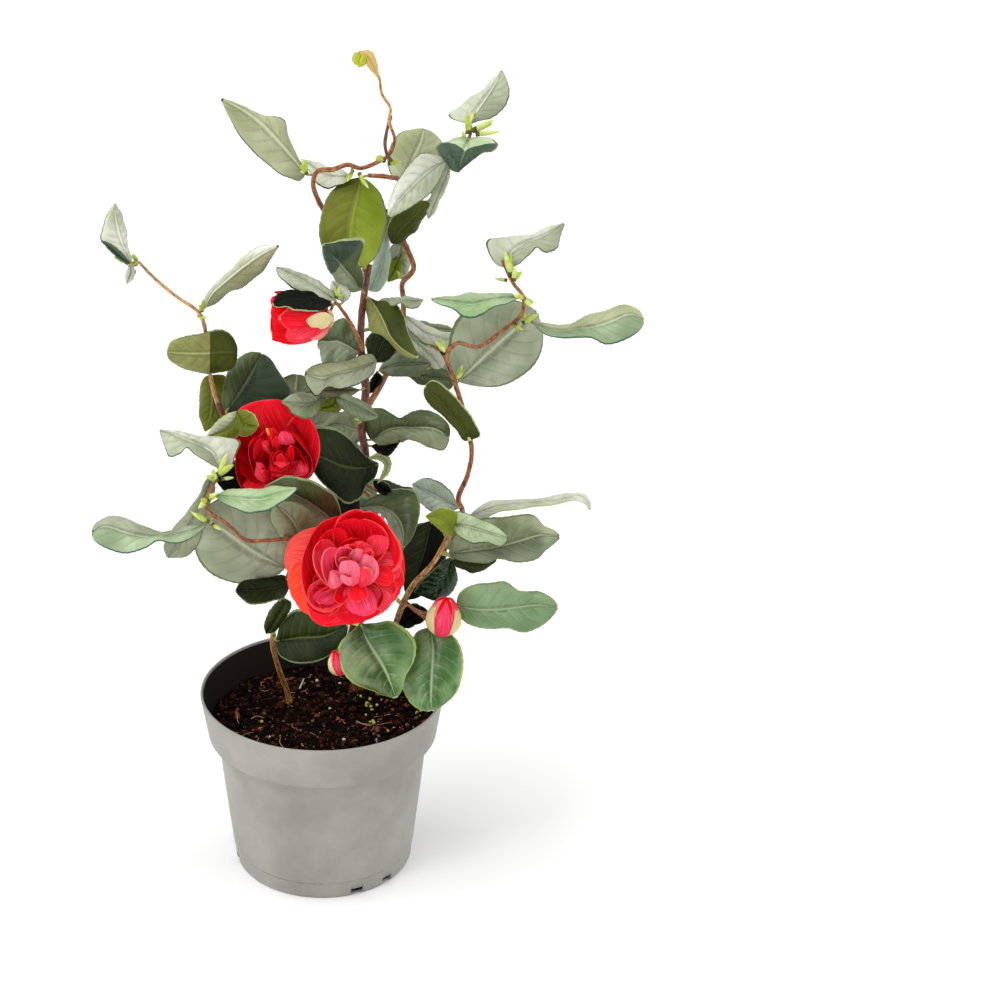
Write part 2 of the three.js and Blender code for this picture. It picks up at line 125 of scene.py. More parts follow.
def loft_quads(rows, cols):
    """Faces of a closed loft: each ring joins the next, and a ladder of quads closes each end ring."""
    ring = np.arange(cols)
    row = np.arange(rows - 1)[:, None] * cols
    step = (ring + 1) % cols
    corners = np.broadcast_arrays(row + ring, row + step, row + cols + step, row + cols + ring)
    walls = np.stack(corners, -1).reshape(-1, 4)
    rung = np.arange(cols // 2 - 1)
    ladder = np.stack([rung + 1, rung, cols - 1 - rung, cols - 2 - rung], -1)
    return np.vstack([walls, ladder, ladder[:, ::-1] + (rows - 1) * cols])


class Joined:
    """Closed lofts gathered into one mesh. Each face has a finish, and each point its place on its
    own surface, across and along, for patterns that follow the surface."""

    def __init__(self):
        self.points, self.quads, self.finishes, self.places = [], [], [], []
        self.size = 0

    def add(self, rings, finish, places=None):
        """One loft of rings, rows by columns by 3. The finish is one name or an array."""
        rows, cols = rings.shape[:2]
        points = rings.reshape(-1, 3)
        quads = loft_quads(rows, cols)
        corner = points[quads] - points.mean(0)
        inside = np.cross(corner[:, 1], corner[:, 2]) + np.cross(corner[:, 2], corner[:, 3])
        if np.sum(corner[:, 0] * inside) < 0:
            quads = quads[:, ::-1]
        names = np.broadcast_to(np.asarray(finish, object), (rows - 1, cols))
        ends = np.repeat(names[[0, -1], 0], cols // 2 - 1)
        if places is None:
            across, way = np.meshgrid(np.linspace(0, 1, cols), np.linspace(0, 1, rows))
            places = np.stack([across, way], -1)
        self.points.append(points)
        self.quads.append(quads + self.size)
        self.finishes.append(np.concatenate([names.ravel(), ends]))
        self.places.append(places.reshape(-1, 2))
        self.size += len(points)

    def add_copies(self, rings, shapes, finish):
        """The same few-sided loft many times: shapes is copies by points by 3, finish a name for each."""
        rows, cols = rings
        quads = loft_quads(rows, cols)
        copies, count = shapes.shape[:2]
        offsets = (np.arange(copies) * count)[:, None, None] + self.size
        self.points.append(shapes.reshape(-1, 3))
        self.quads.append((quads[None] + offsets).reshape(-1, 4))
        self.finishes.append(np.repeat(np.asarray(finish, object), len(quads)))
        self.places.append(np.zeros((copies * count, 2)))
        self.size += copies * count

    def write(self, name, slot, nodes=()):
        """Makes the mesh, in metres, and keeps it with the shrub in place of its CAD nodes."""
        points = np.concatenate(self.points) * MM
        quads = np.concatenate(self.quads)
        names, finish = np.unique(np.concatenate(self.finishes).astype(str), return_inverse=True)
        mesh = bpy.data.meshes.new(name)
        mesh.vertices.add(len(points))
        mesh.vertices.foreach_set("co", points.ravel())
        mesh.loops.add(quads.size)
        mesh.loops.foreach_set("vertex_index", quads.ravel().astype(np.int32))
        mesh.polygons.add(len(quads))
        mesh.polygons.foreach_set("loop_start", np.arange(0, quads.size, 4, dtype=np.int32))
        mesh.polygons.foreach_set("material_index", finish.ravel().astype(np.int32))
        mesh.polygons.foreach_set("use_smooth", np.ones(len(quads), bool))
        surface = mesh.uv_layers.new(name="surface")
        surface.data.foreach_set("uv", np.concatenate(self.places)[quads.ravel()].ravel())
        for finish_name in names:
            mesh.materials.append(finishes[finish_name])
        mesh.update(calc_edges=True)
        mesh.validate()
        piece = bpy.data.objects.new(name, mesh)
        bpy.context.scene.collection.objects.link(piece)
        keep(piece, nodes)
        return piece


def keep(piece, nodes):
    """The piece rides with the shrub and replaces its CAD nodes."""
    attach(piece, "root")
    if nodes:
        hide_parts(*nodes)


# Materials

LEAF_VEINS = 8.0
VEIN_SLANT = 0.24
VEIN_FINENESS = 9.0
finishes = {}


def maths(operation, swapped=False):
    """A method of a mask that adds a Math node, fed by the mask and by another mask or a number."""

    def result(mask, other=None):
        node = mask.tree.nodes.new("ShaderNodeMath")
        node.operation = operation
        for place, value in zip(node.inputs, (other, mask) if swapped else (mask, other)):
            feed(mask.tree, place, value)
        return Mask(mask.tree, node.outputs[0])

    return result


class Mask:
    """A number, place or colour that nodes work out in one tree. Arithmetic on it adds Math nodes."""

    __add__ = maths("ADD")
    __sub__ = maths("SUBTRACT")
    __rsub__ = maths("SUBTRACT", swapped=True)
    __mul__ = maths("MULTIPLY")
    __truediv__ = maths("DIVIDE")
    __pow__ = maths("POWER")
    __abs__ = maths("ABSOLUTE")
    __gt__ = maths("GREATER_THAN")
    __lt__ = maths("LESS_THAN")
    fraction = maths("FRACT")
    larger = maths("MAXIMUM")

    def __init__(self, tree, socket):
        self.tree = tree
        self.socket = socket

    def held(self):
        """The same number, held between 0 and 1."""
        self.socket.node.use_clamp = True
        return self


def feed(tree, place, value):
    """Links a mask to a socket, or gives the socket a plain value."""
    if isinstance(value, Mask):
        tree.links.new(value.socket, place)
    elif value is not None:
        place.default_value = value


def add_node(tree, kind, **sockets):
    """A node, or a node group, fed by the names of its sockets, with _ for a space. Gives its outputs."""
    node = tree.nodes.new(kind if isinstance(kind, str) else "ShaderNodeGroup")
    if not isinstance(kind, str):
        node.node_tree = kind
    for name, value in sockets.items():
        feed(tree, node.inputs[name.replace("_", " ")], value)
    return [Mask(tree, socket) for socket in node.outputs]


def new_group(name, outputs, **inputs):
    """A shader node group: an input is a number with its usual value, or a vector if that is None. Gives
    the group, its inputs as masks, and its output node."""
    group = bpy.data.node_groups.new(name, "ShaderNodeTree")
    for socket, value in inputs.items():
        kind = "NodeSocketVector" if value is None else "NodeSocketFloat"
        made = group.interface.new_socket(socket, in_out="INPUT", socket_type=kind)
        if value is not None:
            made.default_value = value
    for socket in outputs:
        group.interface.new_socket(socket, in_out="OUTPUT", socket_type="NodeSocketFloat")
    start = group.nodes.new("NodeGroupInput")
    given = [Mask(group, start.outputs[socket]) for socket in inputs]
    return group, given, group.nodes.new("NodeGroupOutput")


def mottle_group():
    """Soft uneven patches: layered noise less (0.5 - edge), over twice the edge, held from 0 to 1."""
    group, (place, scale, edge), end = new_group("mottle", ["Patches"], Place=None, Scale=60.0, Edge=0.2)
    noise = add_node(group, "ShaderNodeTexNoise", Vector=place, Scale=scale, Detail=4.0, Roughness=0.6)[0]
    feed(group, end.inputs[0], ((noise - (0.5 - edge)) / (edge * 2.0)).held())
    return group


def vein_group():
    """Side veins, midrib, and the furrows beside them, from the place on the blade. A vein is where the
    way along, less slant * (distance from the midrib to the 1.3), times the count, comes near a whole
    number. The two halves are half a vein apart, and the veins fade towards the margin."""
    group, given, end = new_group("blade_veins", ["Veins", "Midrib", "Furrow"],
                                  Surface=None, Count=9.0, Slant=0.25, Fineness=12.0)
    surface, count, slant, fineness = given
    across, way, _ = add_node(group, "ShaderNodeSeparateXYZ", Vector=surface)
    off = across - 0.5
    away = abs(off) * 2.0
    saw = ((way - away**1.3 * slant) * count + (off > 0.0) * 0.5).fraction()
    line = (1.0 - abs(saw - 0.5) * fineness).held()
    fade = (1.0 - away * 0.9).held()
    midrib = (1.0 - away * 16.0).held()
    dip = (1.0 - abs(saw - 0.38) * 4.0).held()
    flank = (1.0 - abs(away - 0.11) * 11.0).held()
    for place, mask in zip(end.inputs, (line * fade, midrib, (dip * (fade * 0.8)).larger(flank))):
        feed(group, place, mask)
    return group


MOTTLE = mottle_group()
VEINS = vein_group()


class Finish:
    """A material for one kind of surface, built up from masks and mixed colours."""

    def __init__(self, name, **sockets):
        material = bpy.data.materials.new(name)
        material.use_nodes = True
        self.tree = material.node_tree
        self.tree.nodes.clear()
        output = self.tree.nodes.new("ShaderNodeOutputMaterial")
        self.shader = self.tree.nodes.new("ShaderNodeBsdfPrincipled")
        self.tree.links.new(self.shader.outputs[0], output.inputs[0])
        spot = self.tree.nodes.new("ShaderNodeTexCoord")
        self.place = Mask(self.tree, spot.outputs["Object"])
        self.surface = Mask(self.tree, spot.outputs["UV"])
        self.set(**sockets)
        finishes[name] = material

    def set(self, **sockets):
        """Feeds the shader's own sockets."""
        for name, value in sockets.items():
            feed(self.tree, self.shader.inputs[name.replace("_", " ")], value)

    def patches(self, scale, edge, place=None):
        """Soft patches at a place, from 0 to 1."""
        return add_node(self.tree, MOTTLE, Place=place or self.place, Scale=scale, Edge=edge)[0]

    def axes(self, place):
        """The three numbers of a place."""
        return add_node(self.tree, "ShaderNodeSeparateXYZ", Vector=place)

    def stretched(self, place, *scale):
        """A place scaled along each axis."""
        return add_node(self.tree, "ShaderNodeMapping", Vector=place, Scale=scale)[0]

    def noise(self, place, scale, detail, rough=0.5):
        """Layered noise at a place."""
        sockets = dict(Vector=place, Scale=scale, Detail=detail, Roughness=rough)
        return add_node(self.tree, "ShaderNodeTexNoise", **sockets)[0]

    def mix(self, share, first, second):
        """Two colours mixed by a mask."""
        node = self.tree.nodes.new("ShaderNodeMix")
        node.data_type = "RGBA"
        for socket, value in ((0, share), (6, first), (7, second)):
            feed(self.tree, node.inputs[socket], value)
        return Mask(self.tree, node.outputs[2])

    def bump(self, height, distance, strength=1.0):
        """A height mask times a distance in metres, as the shader's bump."""
        raised = add_node(self.tree, "ShaderNodeBump", Height=height, Distance=distance, Strength=strength)
        self.set(Normal=raised[0])

    def roughen(self, mask, low, high):
        """Roughness from low to high by a mask."""
        self.set(Roughness=add_node(self.tree, "ShaderNodeMapRange", Value=mask, To_Min=low, To_Max=high)[0])


def screen(red, green, blue, share=1.0):
    """A tone read off a screen from 0 to 255, as a linear colour, darkened to a share of it."""
    return (*(share * ((c / 255 + 0.055) / 1.055) ** 2.4 for c in (red, green, blue)), 1)


def leaf_finish(name, colour, patch, vein, rough=0.42, coat=0.1, scale=34.0, specular=0.3, veining=0.2):
    """A leathery leaf surface: two tones in soft patches, a darker tone in finer ones, painted shade at the
    foot, across the blade from one margin to the other and in the furrows beside the veins, pale veins and
    midrib, a fine grain and a thin waxy coat."""
    leaf = Finish("leaf_" + name, Coat_Weight=coat, Coat_Roughness=0.2, Specular_IOR_Level=specular)
    mottle = leaf.patches(scale, 0.11)
    cloud = leaf.patches(scale * 4.0, 0.2)
    pattern = dict(Surface=leaf.surface, Count=LEAF_VEINS, Slant=VEIN_SLANT, Fineness=VEIN_FINENESS)
    veins, midrib, furrow = add_node(leaf.tree, VEINS, **pattern)
    across, way, _ = leaf.axes(leaf.surface)
    # painted shade: darker at the leaf's foot, across the blade from one margin to the other, and in the
    # furrows beside the veins
    painted_shade = furrow * (veining * 1.6) + (0.22 - way).held() * 1.8 + across * 0.22
    tone = leaf.mix(mottle, screen(*colour), screen(*patch))
    tone = leaf.mix((cloud * 0.4 + painted_shade).held(), tone, screen(*colour, 0.34))
    shown = (veins * veining).larger(midrib * min(0.8, veining * 4))
    leaf.set(Base_Color=leaf.mix(shown, tone, screen(*vein)))
    leaf.bump(leaf.noise(leaf.place, 600.0, 2.0) * 0.3 - furrow, 0.0005, 0.7)
    leaf.roughen(mottle, rough, rough + 0.12)


def petal_finish(name, colour, deep, vein):
    """A velvety petal: it darkens towards the claw, partly its own deeper colour there and partly painted
    shade deep in the bloom, with fine dark and pale lengthwise veins.
    """
    petal = Finish("petal_" + name, Roughness=0.62, Specular_IOR_Level=0.08, Subsurface_Weight=0.12,
                   Subsurface_Radius=(0.004, 0.001, 0.001), Subsurface_Scale=1.0)
    stripes = petal.noise(petal.stretched(petal.surface, 34, 2.5, 1), 1.0, 3.0)
    # painted shade towards the claw, over the petal's own deeper colour there
    claw = (0.74 - petal.axes(petal.surface)[1]).held()
    tone = petal.mix((claw + petal.patches(90.0, 0.25) * 0.2).held(), screen(*colour), screen(*deep))
    tone = petal.mix((0.48 - stripes).held() * 3.0, tone, screen(*deep))
    petal.set(Base_Color=petal.mix((stripes - 0.5).held() * 2.4, tone, screen(*vein)))
    petal.bump(stripes, 0.0004, 0.6)


def bark_finish(name, young, old, fissure, rough):
    """Bark: young and old tones in drawn-out patches, and dark lengthwise fissures."""
    bark = Finish("bark_" + name, Coat_Weight=0.25, Coat_Roughness=0.3)
    drawn = bark.stretched(bark.surface, 9, 22, 1)
    grain = bark.noise(drawn, 1.0, 5.0, 0.65)
    tone = bark.mix(bark.patches(0.35, 0.12, drawn), screen(*young), screen(*old))
    cracks = ((0.54 - grain).held() * 7.0).held()
    bark.set(Base_Color=bark.mix(cracks, tone, screen(*fissure)))
    bark.bump(grain, 0.0009)
    bark.roughen(grain, rough - 0.1, rough + 0.25)


def plain_finish(name, colour, patch, rough=0.6, scale=120.0, coat=0.0, specular=0.25):
    """A small part's surface: two near tones in fine patches with a slight grain."""
    part = Finish(name, Roughness=rough, Coat_Weight=coat, Specular_IOR_Level=specular)
    mottle = part.patches(scale, 0.2)
    part.set(Base_Color=part.mix(mottle, screen(*colour), screen(*patch)))
    part.bump(mottle, 0.0003, 0.4)


POT_GRIME = (0.09, 0.075, 0.06, 1)
POT_SPECK = (0.30, 0.26, 0.21, 1)
GRIME_HEIGHT = 0.0142
# The part of the inner wall painted in shade: nearer the axis than this, between these two heights
SHADE_WITHIN = 0.0705
SHADE_LOW, SHADE_TOP = 0.1145, 0.1462
WALL_LEAN = 0.16


def pot_finish():
    """Warm grey moulded plastic: faint cloudy stains and specks, fine scratches, grime in the foot line, and
    painted shade on the wall inside the band, a near-black tone there that is told from the outer wall by
    its distance from the axis, less WALL_LEAN times its height. Distances are in metres."""
    pot = Finish("pot_plastic", Specular_IOR_Level=0.3)
    east, north, up = pot.axes(pot.place)
    clouds = pot.patches(14.0, 0.25)
    tone = pot.mix(clouds, screen(130, 128, 120), screen(168, 166, 160))
    tone = pot.mix(pot.patches(420.0, 0.08) * 0.10, tone, POT_SPECK)
    line = (1.0 - abs(up - GRIME_HEIGHT) * 1100.0).held()
    tone = pot.mix(line * pot.patches(150.0, 0.06) * 0.75, tone, POT_GRIME)
    within = (east * east + north * north) ** 0.5 - up * WALL_LEAN
    # painted shade: the inner wall inside the band is near black
    inner_wall_shade = (within < SHADE_WITHIN) * ((up > SHADE_LOW) * (up < SHADE_TOP))
    pot.set(Base_Color=pot.mix(inner_wall_shade, tone, screen(26, 20, 15)))
    pot.bump(pot.noise(pot.stretched(pot.place, 40, 40, 900), 1.0, 3.0), 0.00012, 0.5)
    pot.roughen(clouds, 0.42, 0.58)


# Tones are red, green and blue as a screen shows them: a leaf's surface, patches and veins, then its
# roughness and coat, a small part's two tones, then its roughness, patch scale and coat, the young bark,
# the old bark and its cracks, then its roughness, and a petal, its claw and its veins
# The leaf tones follow each leaf's look under the light: black and dark are partly painted shade on leaves
# that lie in shade, and the palest, silver, sage, khaki and teal, are partly painted reflection of the pale
# surroundings on the leaves' tops
leaf_finish("black", (8, 12, 4), (18, 26, 10), (34, 46, 22), 0.5, 0.0, specular=0.1)
leaf_finish("dark", (22, 32, 8), (54, 68, 32), (88, 108, 58), 0.45, 0.05, specular=0.12)
leaf_finish("teal_dark", (40, 64, 44), (80, 106, 80), (112, 138, 108), 0.36, 0.15, specular=0.25)
leaf_finish("olive_dark", (34, 48, 4), (60, 74, 18), (104, 122, 56), 0.4, 0.05, specular=0.15)
leaf_finish("glossy", (6, 48, 4), (18, 74, 12), (60, 110, 44), 0.2, 0.4)
# The pale patches of the two finishes below are painted highlights, over their real gloss and coat
leaf_finish("wet", (56, 88, 24), (160, 178, 122), (184, 206, 140), 0.2, 0.6, scale=44.0)
leaf_finish("wet_bright", (66, 112, 42), (148, 182, 120), (190, 214, 152), 0.2, 0.6, scale=44.0)
leaf_finish("fresh", (104, 142, 86), (152, 180, 134), (196, 214, 160), 0.3, 0.3, scale=32.0, veining=0.14)
leaf_finish("green", (88, 124, 56), (128, 158, 98), (172, 192, 126), 0.35, 0.2)
leaf_finish("deep", (62, 80, 38), (102, 120, 76), (140, 158, 106), 0.38, 0.15, specular=0.25)
leaf_finish("slate", (110, 126, 94), (156, 170, 138), (182, 194, 152), 0.38, 0.2)
leaf_finish("moss", (118, 132, 90), (166, 176, 138), (190, 200, 152), 0.38, 0.2)
leaf_finish("grey", (132, 140, 106), (166, 172, 142), (184, 190, 148))
leaf_finish("taupe", (134, 122, 92), (152, 142, 112), (176, 166, 132), 0.5, 0.05)
leaf_finish("sage", (150, 162, 128), (200, 208, 178), (210, 218, 184), 0.42, 0.15)
leaf_finish("khaki", (168, 176, 130), (210, 214, 174), (220, 224, 182), 0.48, 0.1)
leaf_finish("silver", (202, 208, 180), (242, 244, 226), (242, 244, 226), 0.48, 0.1)
leaf_finish("teal", (176, 200, 176), (222, 236, 218), (222, 234, 212), 0.4, 0.2)
leaf_finish("mint", (154, 186, 128), (208, 226, 184), (220, 230, 190), 0.4, 0.15)
leaf_finish("soft", (138, 162, 118), (184, 204, 164), (206, 220, 184), 0.4, 0.2)
leaf_finish("olive", (102, 112, 8), (136, 142, 40), (158, 164, 84), 0.5, 0.05, specular=0.2, veining=0.08)
leaf_finish("olive_grey", (138, 142, 70), (160, 164, 96), (186, 190, 124), 0.48, 0.05)
leaf_finish("dusk", (54, 64, 2), (84, 94, 18), (116, 126, 54), 0.5, 0.05, specular=0.2, veining=0.08)
leaf_finish("lime", (120, 142, 14), (156, 172, 54), (184, 194, 104), 0.5, 0.05, specular=0.2, veining=0.08)
plain_finish("edge_dark", (40, 50, 26), (62, 74, 40), 0.5)
plain_finish("edge_moss", (92, 104, 62), (118, 130, 84), 0.5)
plain_finish("edge_pale", (172, 182, 128), (150, 160, 104), 0.5)
plain_finish("edge_sage", (150, 166, 120), (124, 142, 98), 0.45)
plain_finish("edge_teal", (44, 84, 60), (70, 110, 84), 0.4)
plain_finish("edge_lime", (148, 176, 84), (170, 190, 110), 0.5)
plain_finish("stalk_green", (150, 158, 78), (172, 160, 96), 0.5)
plain_finish("bud_lime", (150, 176, 50), (196, 210, 100), 0.4, 260.0, 0.2)
plain_finish("bud_tip", (220, 228, 150), (184, 200, 90), 0.4, 260.0, 0.2)
plain_finish("bud_scale", (60, 62, 26), (112, 116, 46), 0.5, 260.0)
plain_finish("shoot_cream", (226, 200, 130), (214, 178, 96), 0.5)
plain_finish("shoot_lime", (196, 200, 60), (170, 176, 40), 0.5)
plain_finish("sepal", (204, 190, 124), (226, 200, 144), 0.45, 150.0, 0.2)
plain_finish("sepal_pale", (226, 208, 158), (210, 196, 128), 0.45, 90.0, 0.2)
plain_finish("stamen", (250, 176, 90), (244, 150, 60), 0.6)
# Pale rim tones for petal edges: painted highlights where the rims catch the light
plain_finish("petal_rim", (244, 44, 52), (220, 14, 26), 0.6, 150.0)
plain_finish("petal_edge", (255, 98, 90), (250, 58, 60), 0.6, 150.0)
bark_finish("young", (218, 138, 70), (150, 76, 34), (46, 20, 8), 0.36)
bark_finish("old", (152, 80, 40), (86, 38, 20), (28, 12, 6), 0.4)
bark_finish("base", (236, 180, 96), (158, 102, 44), (42, 24, 10), 0.42)
bark_finish("tan", (234, 186, 118), (208, 148, 84), (92, 50, 22), 0.38)
petal_finish("coral", (255, 92, 84), (240, 26, 34), (255, 136, 122))
petal_finish("orange", (255, 74, 50), (234, 18, 16), (255, 122, 94))
petal_finish("red", (255, 18, 44), (224, 0, 12), (255, 76, 84))
petal_finish("crimson", (246, 2, 22), (158, 0, 4), (250, 24, 32))
petal_finish("deep", (200, 0, 8), (96, 0, 2), (216, 6, 14))
petal_finish("pink", (255, 54, 80), (214, 4, 26), (255, 116, 124))
petal_finish("magenta", (254, 64, 104), (210, 6, 38), (255, 128, 150))
petal_finish("rose", (254, 116, 142), (228, 30, 62), (255, 172, 180))
petal_finish("blush", (255, 138, 132), (240, 70, 76), (255, 176, 166))
plain_finish("compost_black", (10, 6, 4), (24, 13, 8), 0.9, 400.0, specular=0.05)
plain_finish("compost_brown", (42, 20, 12), (70, 34, 20), 0.85, 400.0, specular=0.05)
plain_finish("compost_grey", (96, 76, 62), (124, 104, 88), 0.85, 400.0, specular=0.05)
plain_finish("chip_red", (96, 42, 24), (138, 70, 40), 0.8, 300.0)
plain_finish("fibre_tan", (176, 128, 88), (196, 156, 118), 0.7, 300.0)
plain_finish("pellet_lime", (206, 204, 96), (184, 188, 76), 0.4, 200.0)
plain_finish("grit_white", (226, 218, 204), (200, 190, 172), 0.7, 300.0)
pot_finish()

# Stems: the nodes they replace, radius at the foot and the tip, flare at the ground, finishes below and
# above the change, and bends, all in mm

STEMS = {
    "trunk": dict(
        nodes=["trunk"], thick=4.6, thin=2.6, flare=3.2, finish="bark_old",
        bends=[(29, 50, 116), (28, 45, 142), (23, 28, 172), (27, 12, 210), (22, 19, 245), (22, 17, 286),
               (31, 6, 325), (34, 0, 346), (31, -4, 368), (34, 6, 396), (31, 8, 423), (31, -6, 456),
               (36, 11, 490)],
    ),
    "leader": dict(
        nodes=["leader_low", "leader_high", "leader_tip"], thick=2.5, thin=0.9, finish="bark_young",
        upper="bark_tan", change=0.78,
        bends=[(34, 8, 486), (31, 20, 502), (19, 24, 513), (7, 18, 525), (1, 11, 536), (-3, 3, 552),
               (1, -5, 563), (11, -9, 565), (21, -4, 567), (31, 6, 562), (42, 10, 565), (50, 4, 572),
               (54, -7, 586), (50, -9, 599), (51, -2, 606), (45, 1, 616), (43, -2, 628), (36, -5, 638)],
    ),
    "inner_bough": dict(
        nodes=["inner_bough", "inner_hook"], thick=2.4, thin=1.6, finish="bark_young",
        bends=[(35, 6, 382), (43, 24, 388), (48, 36, 393), (54, 46, 404), (61, 52, 420), (62, 46, 451),
               (61, 40, 466), (69, 31, 481), (62, 40, 499), (59, 42, 514), (61, 34, 532), (62, 24, 547),
               (50, 12, 554), (36, 5, 557)],
    ),
    "right_stem": dict(
        nodes=["right_stem_low", "right_stem_high", "right_crook"], thick=2.7, thin=1.4, flare=1.2,
        finish="bark_base", upper="bark_young", change=0.42,
        bends=[(46, 38, 116), (46, 34, 136), (50, 10, 160), (52, 2, 182), (60, -10, 220), (69, -22, 248),
               (85, -36, 276), (96, -30, 295), (106, -14, 306), (103, -10, 314), (109, -22, 340),
               (111, -28, 362), (105, -15, 388), (98, -20, 412), (92, -30, 436), (98, -26, 443),
               (116, -10, 435), (132, 0, 443), (145, -8, 458), (146, -16, 474), (138, -10, 484),
               (131, -4, 498)],
    ),
    "left_stem": dict(
        nodes=["left_stem", "left_crook"], thick=2.3, thin=1.3, flare=1.0, finish="bark_base",
        upper="bark_young", change=0.55,
        bends=[(-26, 26, 116), (-29, 23, 134), (-35, 11, 162), (-38, 0, 191), (-33, -14, 222),
               (-25, -32, 258), (-16, -52, 294), (-21, -62, 306), (-36, -74, 311), (-51, -80, 314),
               (-65, -82, 328), (-78, -88, 343), (-74, -80, 355), (-68, -74, 369)],
    ),
    "left_bough": dict(
        nodes=["left_bough", "left_bough_tip"], thick=2.6, thin=1.2, finish="bark_old", upper="bark_tan",
        bends=[(24, 16, 300), (-1, 28, 305), (-16, 32, 312), (-31, 32, 322), (-57, 20, 350), (-72, 6, 376),
               (-79, 14, 395), (-83, 16, 419), (-82, 6, 438), (-86, -4, 459), (-101, 2, 468),
               (-118, 12, 479), (-128, 4, 494)],
    ),
    "back_left_bough": dict(
        nodes=["back_left_bough"], thick=2.4, thin=1.4, finish="bark_young",
        bends=[(22, 18, 270), (8, 44, 280), (-8, 62, 286), (-22, 84, 300), (-30, 100, 320)],
    ),
    "back_right_bough": dict(
        nodes=["back_right_bough"], thick=2.2, thin=1.3, finish="bark_young",
        bends=[(62, 51, 424), (72, 68, 416), (76, 84, 404), (86, 96, 398), (94, 100, 384)],
    ),
    "back_low_bough": dict(
        nodes=["back_low_bough"], thick=2.4, thin=1.4, finish="bark_young",
        bends=[(26, 15, 224), (36, 40, 234), (40, 62, 236), (46, 80, 250), (50, 96, 268)],
    ),
}
BARK_SIDES = 20
BARK_STEP = 1.2
BARK_RELIEF = 0.045
WOOD_SHARE = 0.94
NODE_SPACING = 21.0
SCAR_LENGTH = 1.6
SCAR_HEIGHT = 0.35
FLARE_LENGTH = 9.0

limb_samples = []


def run_along(line):
    """How far along a line each of its points is."""
    return np.concatenate([[0], np.cumsum(np.linalg.norm(np.diff(line, axis=0), axis=1))])


def bark_rings(line, radius):
    """A stem's rings: the radius times 1 plus ridged fissures that wander round it, leaf scars every
    NODE_SPACING on alternate sides, and an uneven swell."""
    side, other = carried_frames(line)
    turn = np.linspace(0, FULL_TURN, BARK_SIDES, endpoint=False)[None, :]
    run = run_along(line)[:, None]
    phase = chance.uniform(0, 6.28, 6)
    ridges = np.abs(np.sin(3.5 * turn + phase[0] + 0.6 * np.sin(run / 11 + phase[1]))) - 0.5
    ridges = ridges + 0.5 * np.sin(8 * turn + phase[2] + np.sin(run / 6 + phase[3]))
    scar = np.exp(-(((run + phase[4]) % NODE_SPACING - NODE_SPACING / 2) / SCAR_LENGTH) ** 2)
    facing = 0.5 + 0.5 * np.cos(turn - 2.4 * np.floor(run / NODE_SPACING) - phase[5])
    swell = 0.05 * np.sin(run / 17 + phase[1]) + 0.03 * np.sin(run / 7 + phase[2])
    spread = radius[:, None] * (1 + BARK_RELIEF * ridges + swell) + SCAR_HEIGHT * scar * facing**2
    spoke = np.cos(turn)[..., None] * side[:, None] + np.sin(turn)[..., None] * other[:, None]
    return line[:, None] + spread[..., None] * spoke


def make_stems():
    """One piece of bark for each stem, from inside the compost or the parent stem to its tip."""
    for name, stem in STEMS.items():
        line = smooth_line(stem["bends"], step=BARK_STEP)
        part = np.linspace(0, 1, len(line))
        run = run_along(line)
        flare = stem.get("flare", 0) * np.exp(-np.maximum(run - 6, 0) / FLARE_LENGTH)
        radius = WOOD_SHARE * (stem["thick"] + (stem["thin"] - stem["thick"]) * part) + flare
        limb_samples.append(np.column_stack([line, radius]))
        wood = Joined()
        run_share = np.broadcast_to((run / 100)[:, None], (len(line), BARK_SIDES))
        around = np.broadcast_to(np.abs(np.linspace(-1, 1, BARK_SIDES)), run_share.shape)
        low = part[:-1, None] < stem.get("change", 0.5)
        tones = np.where(low, stem["finish"], stem.get("upper", stem["finish"])).astype(object)
        tones = np.repeat(tones, BARK_SIDES, axis=1)
        wood.add(bark_rings(line, radius), tones, np.stack([around, run_share], -1))
        wood.write(name + "_bark", "bark", stem["nodes"])


# Twigs, leaf stalks and leaf buds

SMALL_SIDES = 8
TWIG_SIDES = 12
TWIG_GAP = 13.0
SCALE_LEAN = 0.08
SCALE_FAN = 0.45
twigs, stalks, buds = Joined(), Joined(), Joined()


def tube(target, line, radius, finish, sides=SMALL_SIDES):
    """A round rod along a line, its radius given at each point."""
    side, other = carried_frames(line)
    turn = np.linspace(0, FULL_TURN, sides, endpoint=False)[None, :, None]
    spread = np.broadcast_to(radius, (len(line),))[:, None, None]
    spoke = np.cos(turn) * side[:, None] + np.sin(turn) * other[:, None]
    target.add(line[:, None] + spread * spoke, finish)


def nearest_limb(point):
    """The sampled limb point nearest to a place, and its radius."""
    samples = np.vstack(limb_samples)
    best = samples[np.argmin(np.linalg.norm(samples[:, :3] - point, axis=1))]
    return best[:3], best[3]


def grow_twig(bends, thick=1.7, thin=1.2, finish="bark_young"):
    """A twig through the bends, slightly knotted, which then carries leaves as a limb does."""
    line = smooth_line(bends)
    radius = np.linspace(thick, thin, len(line)) + 0.12 * np.sin(np.arange(len(line)) * 0.9)
    tube(twigs, line, radius, finish, TWIG_SIDES)
    limb_samples.append(np.column_stack([line, radius]))


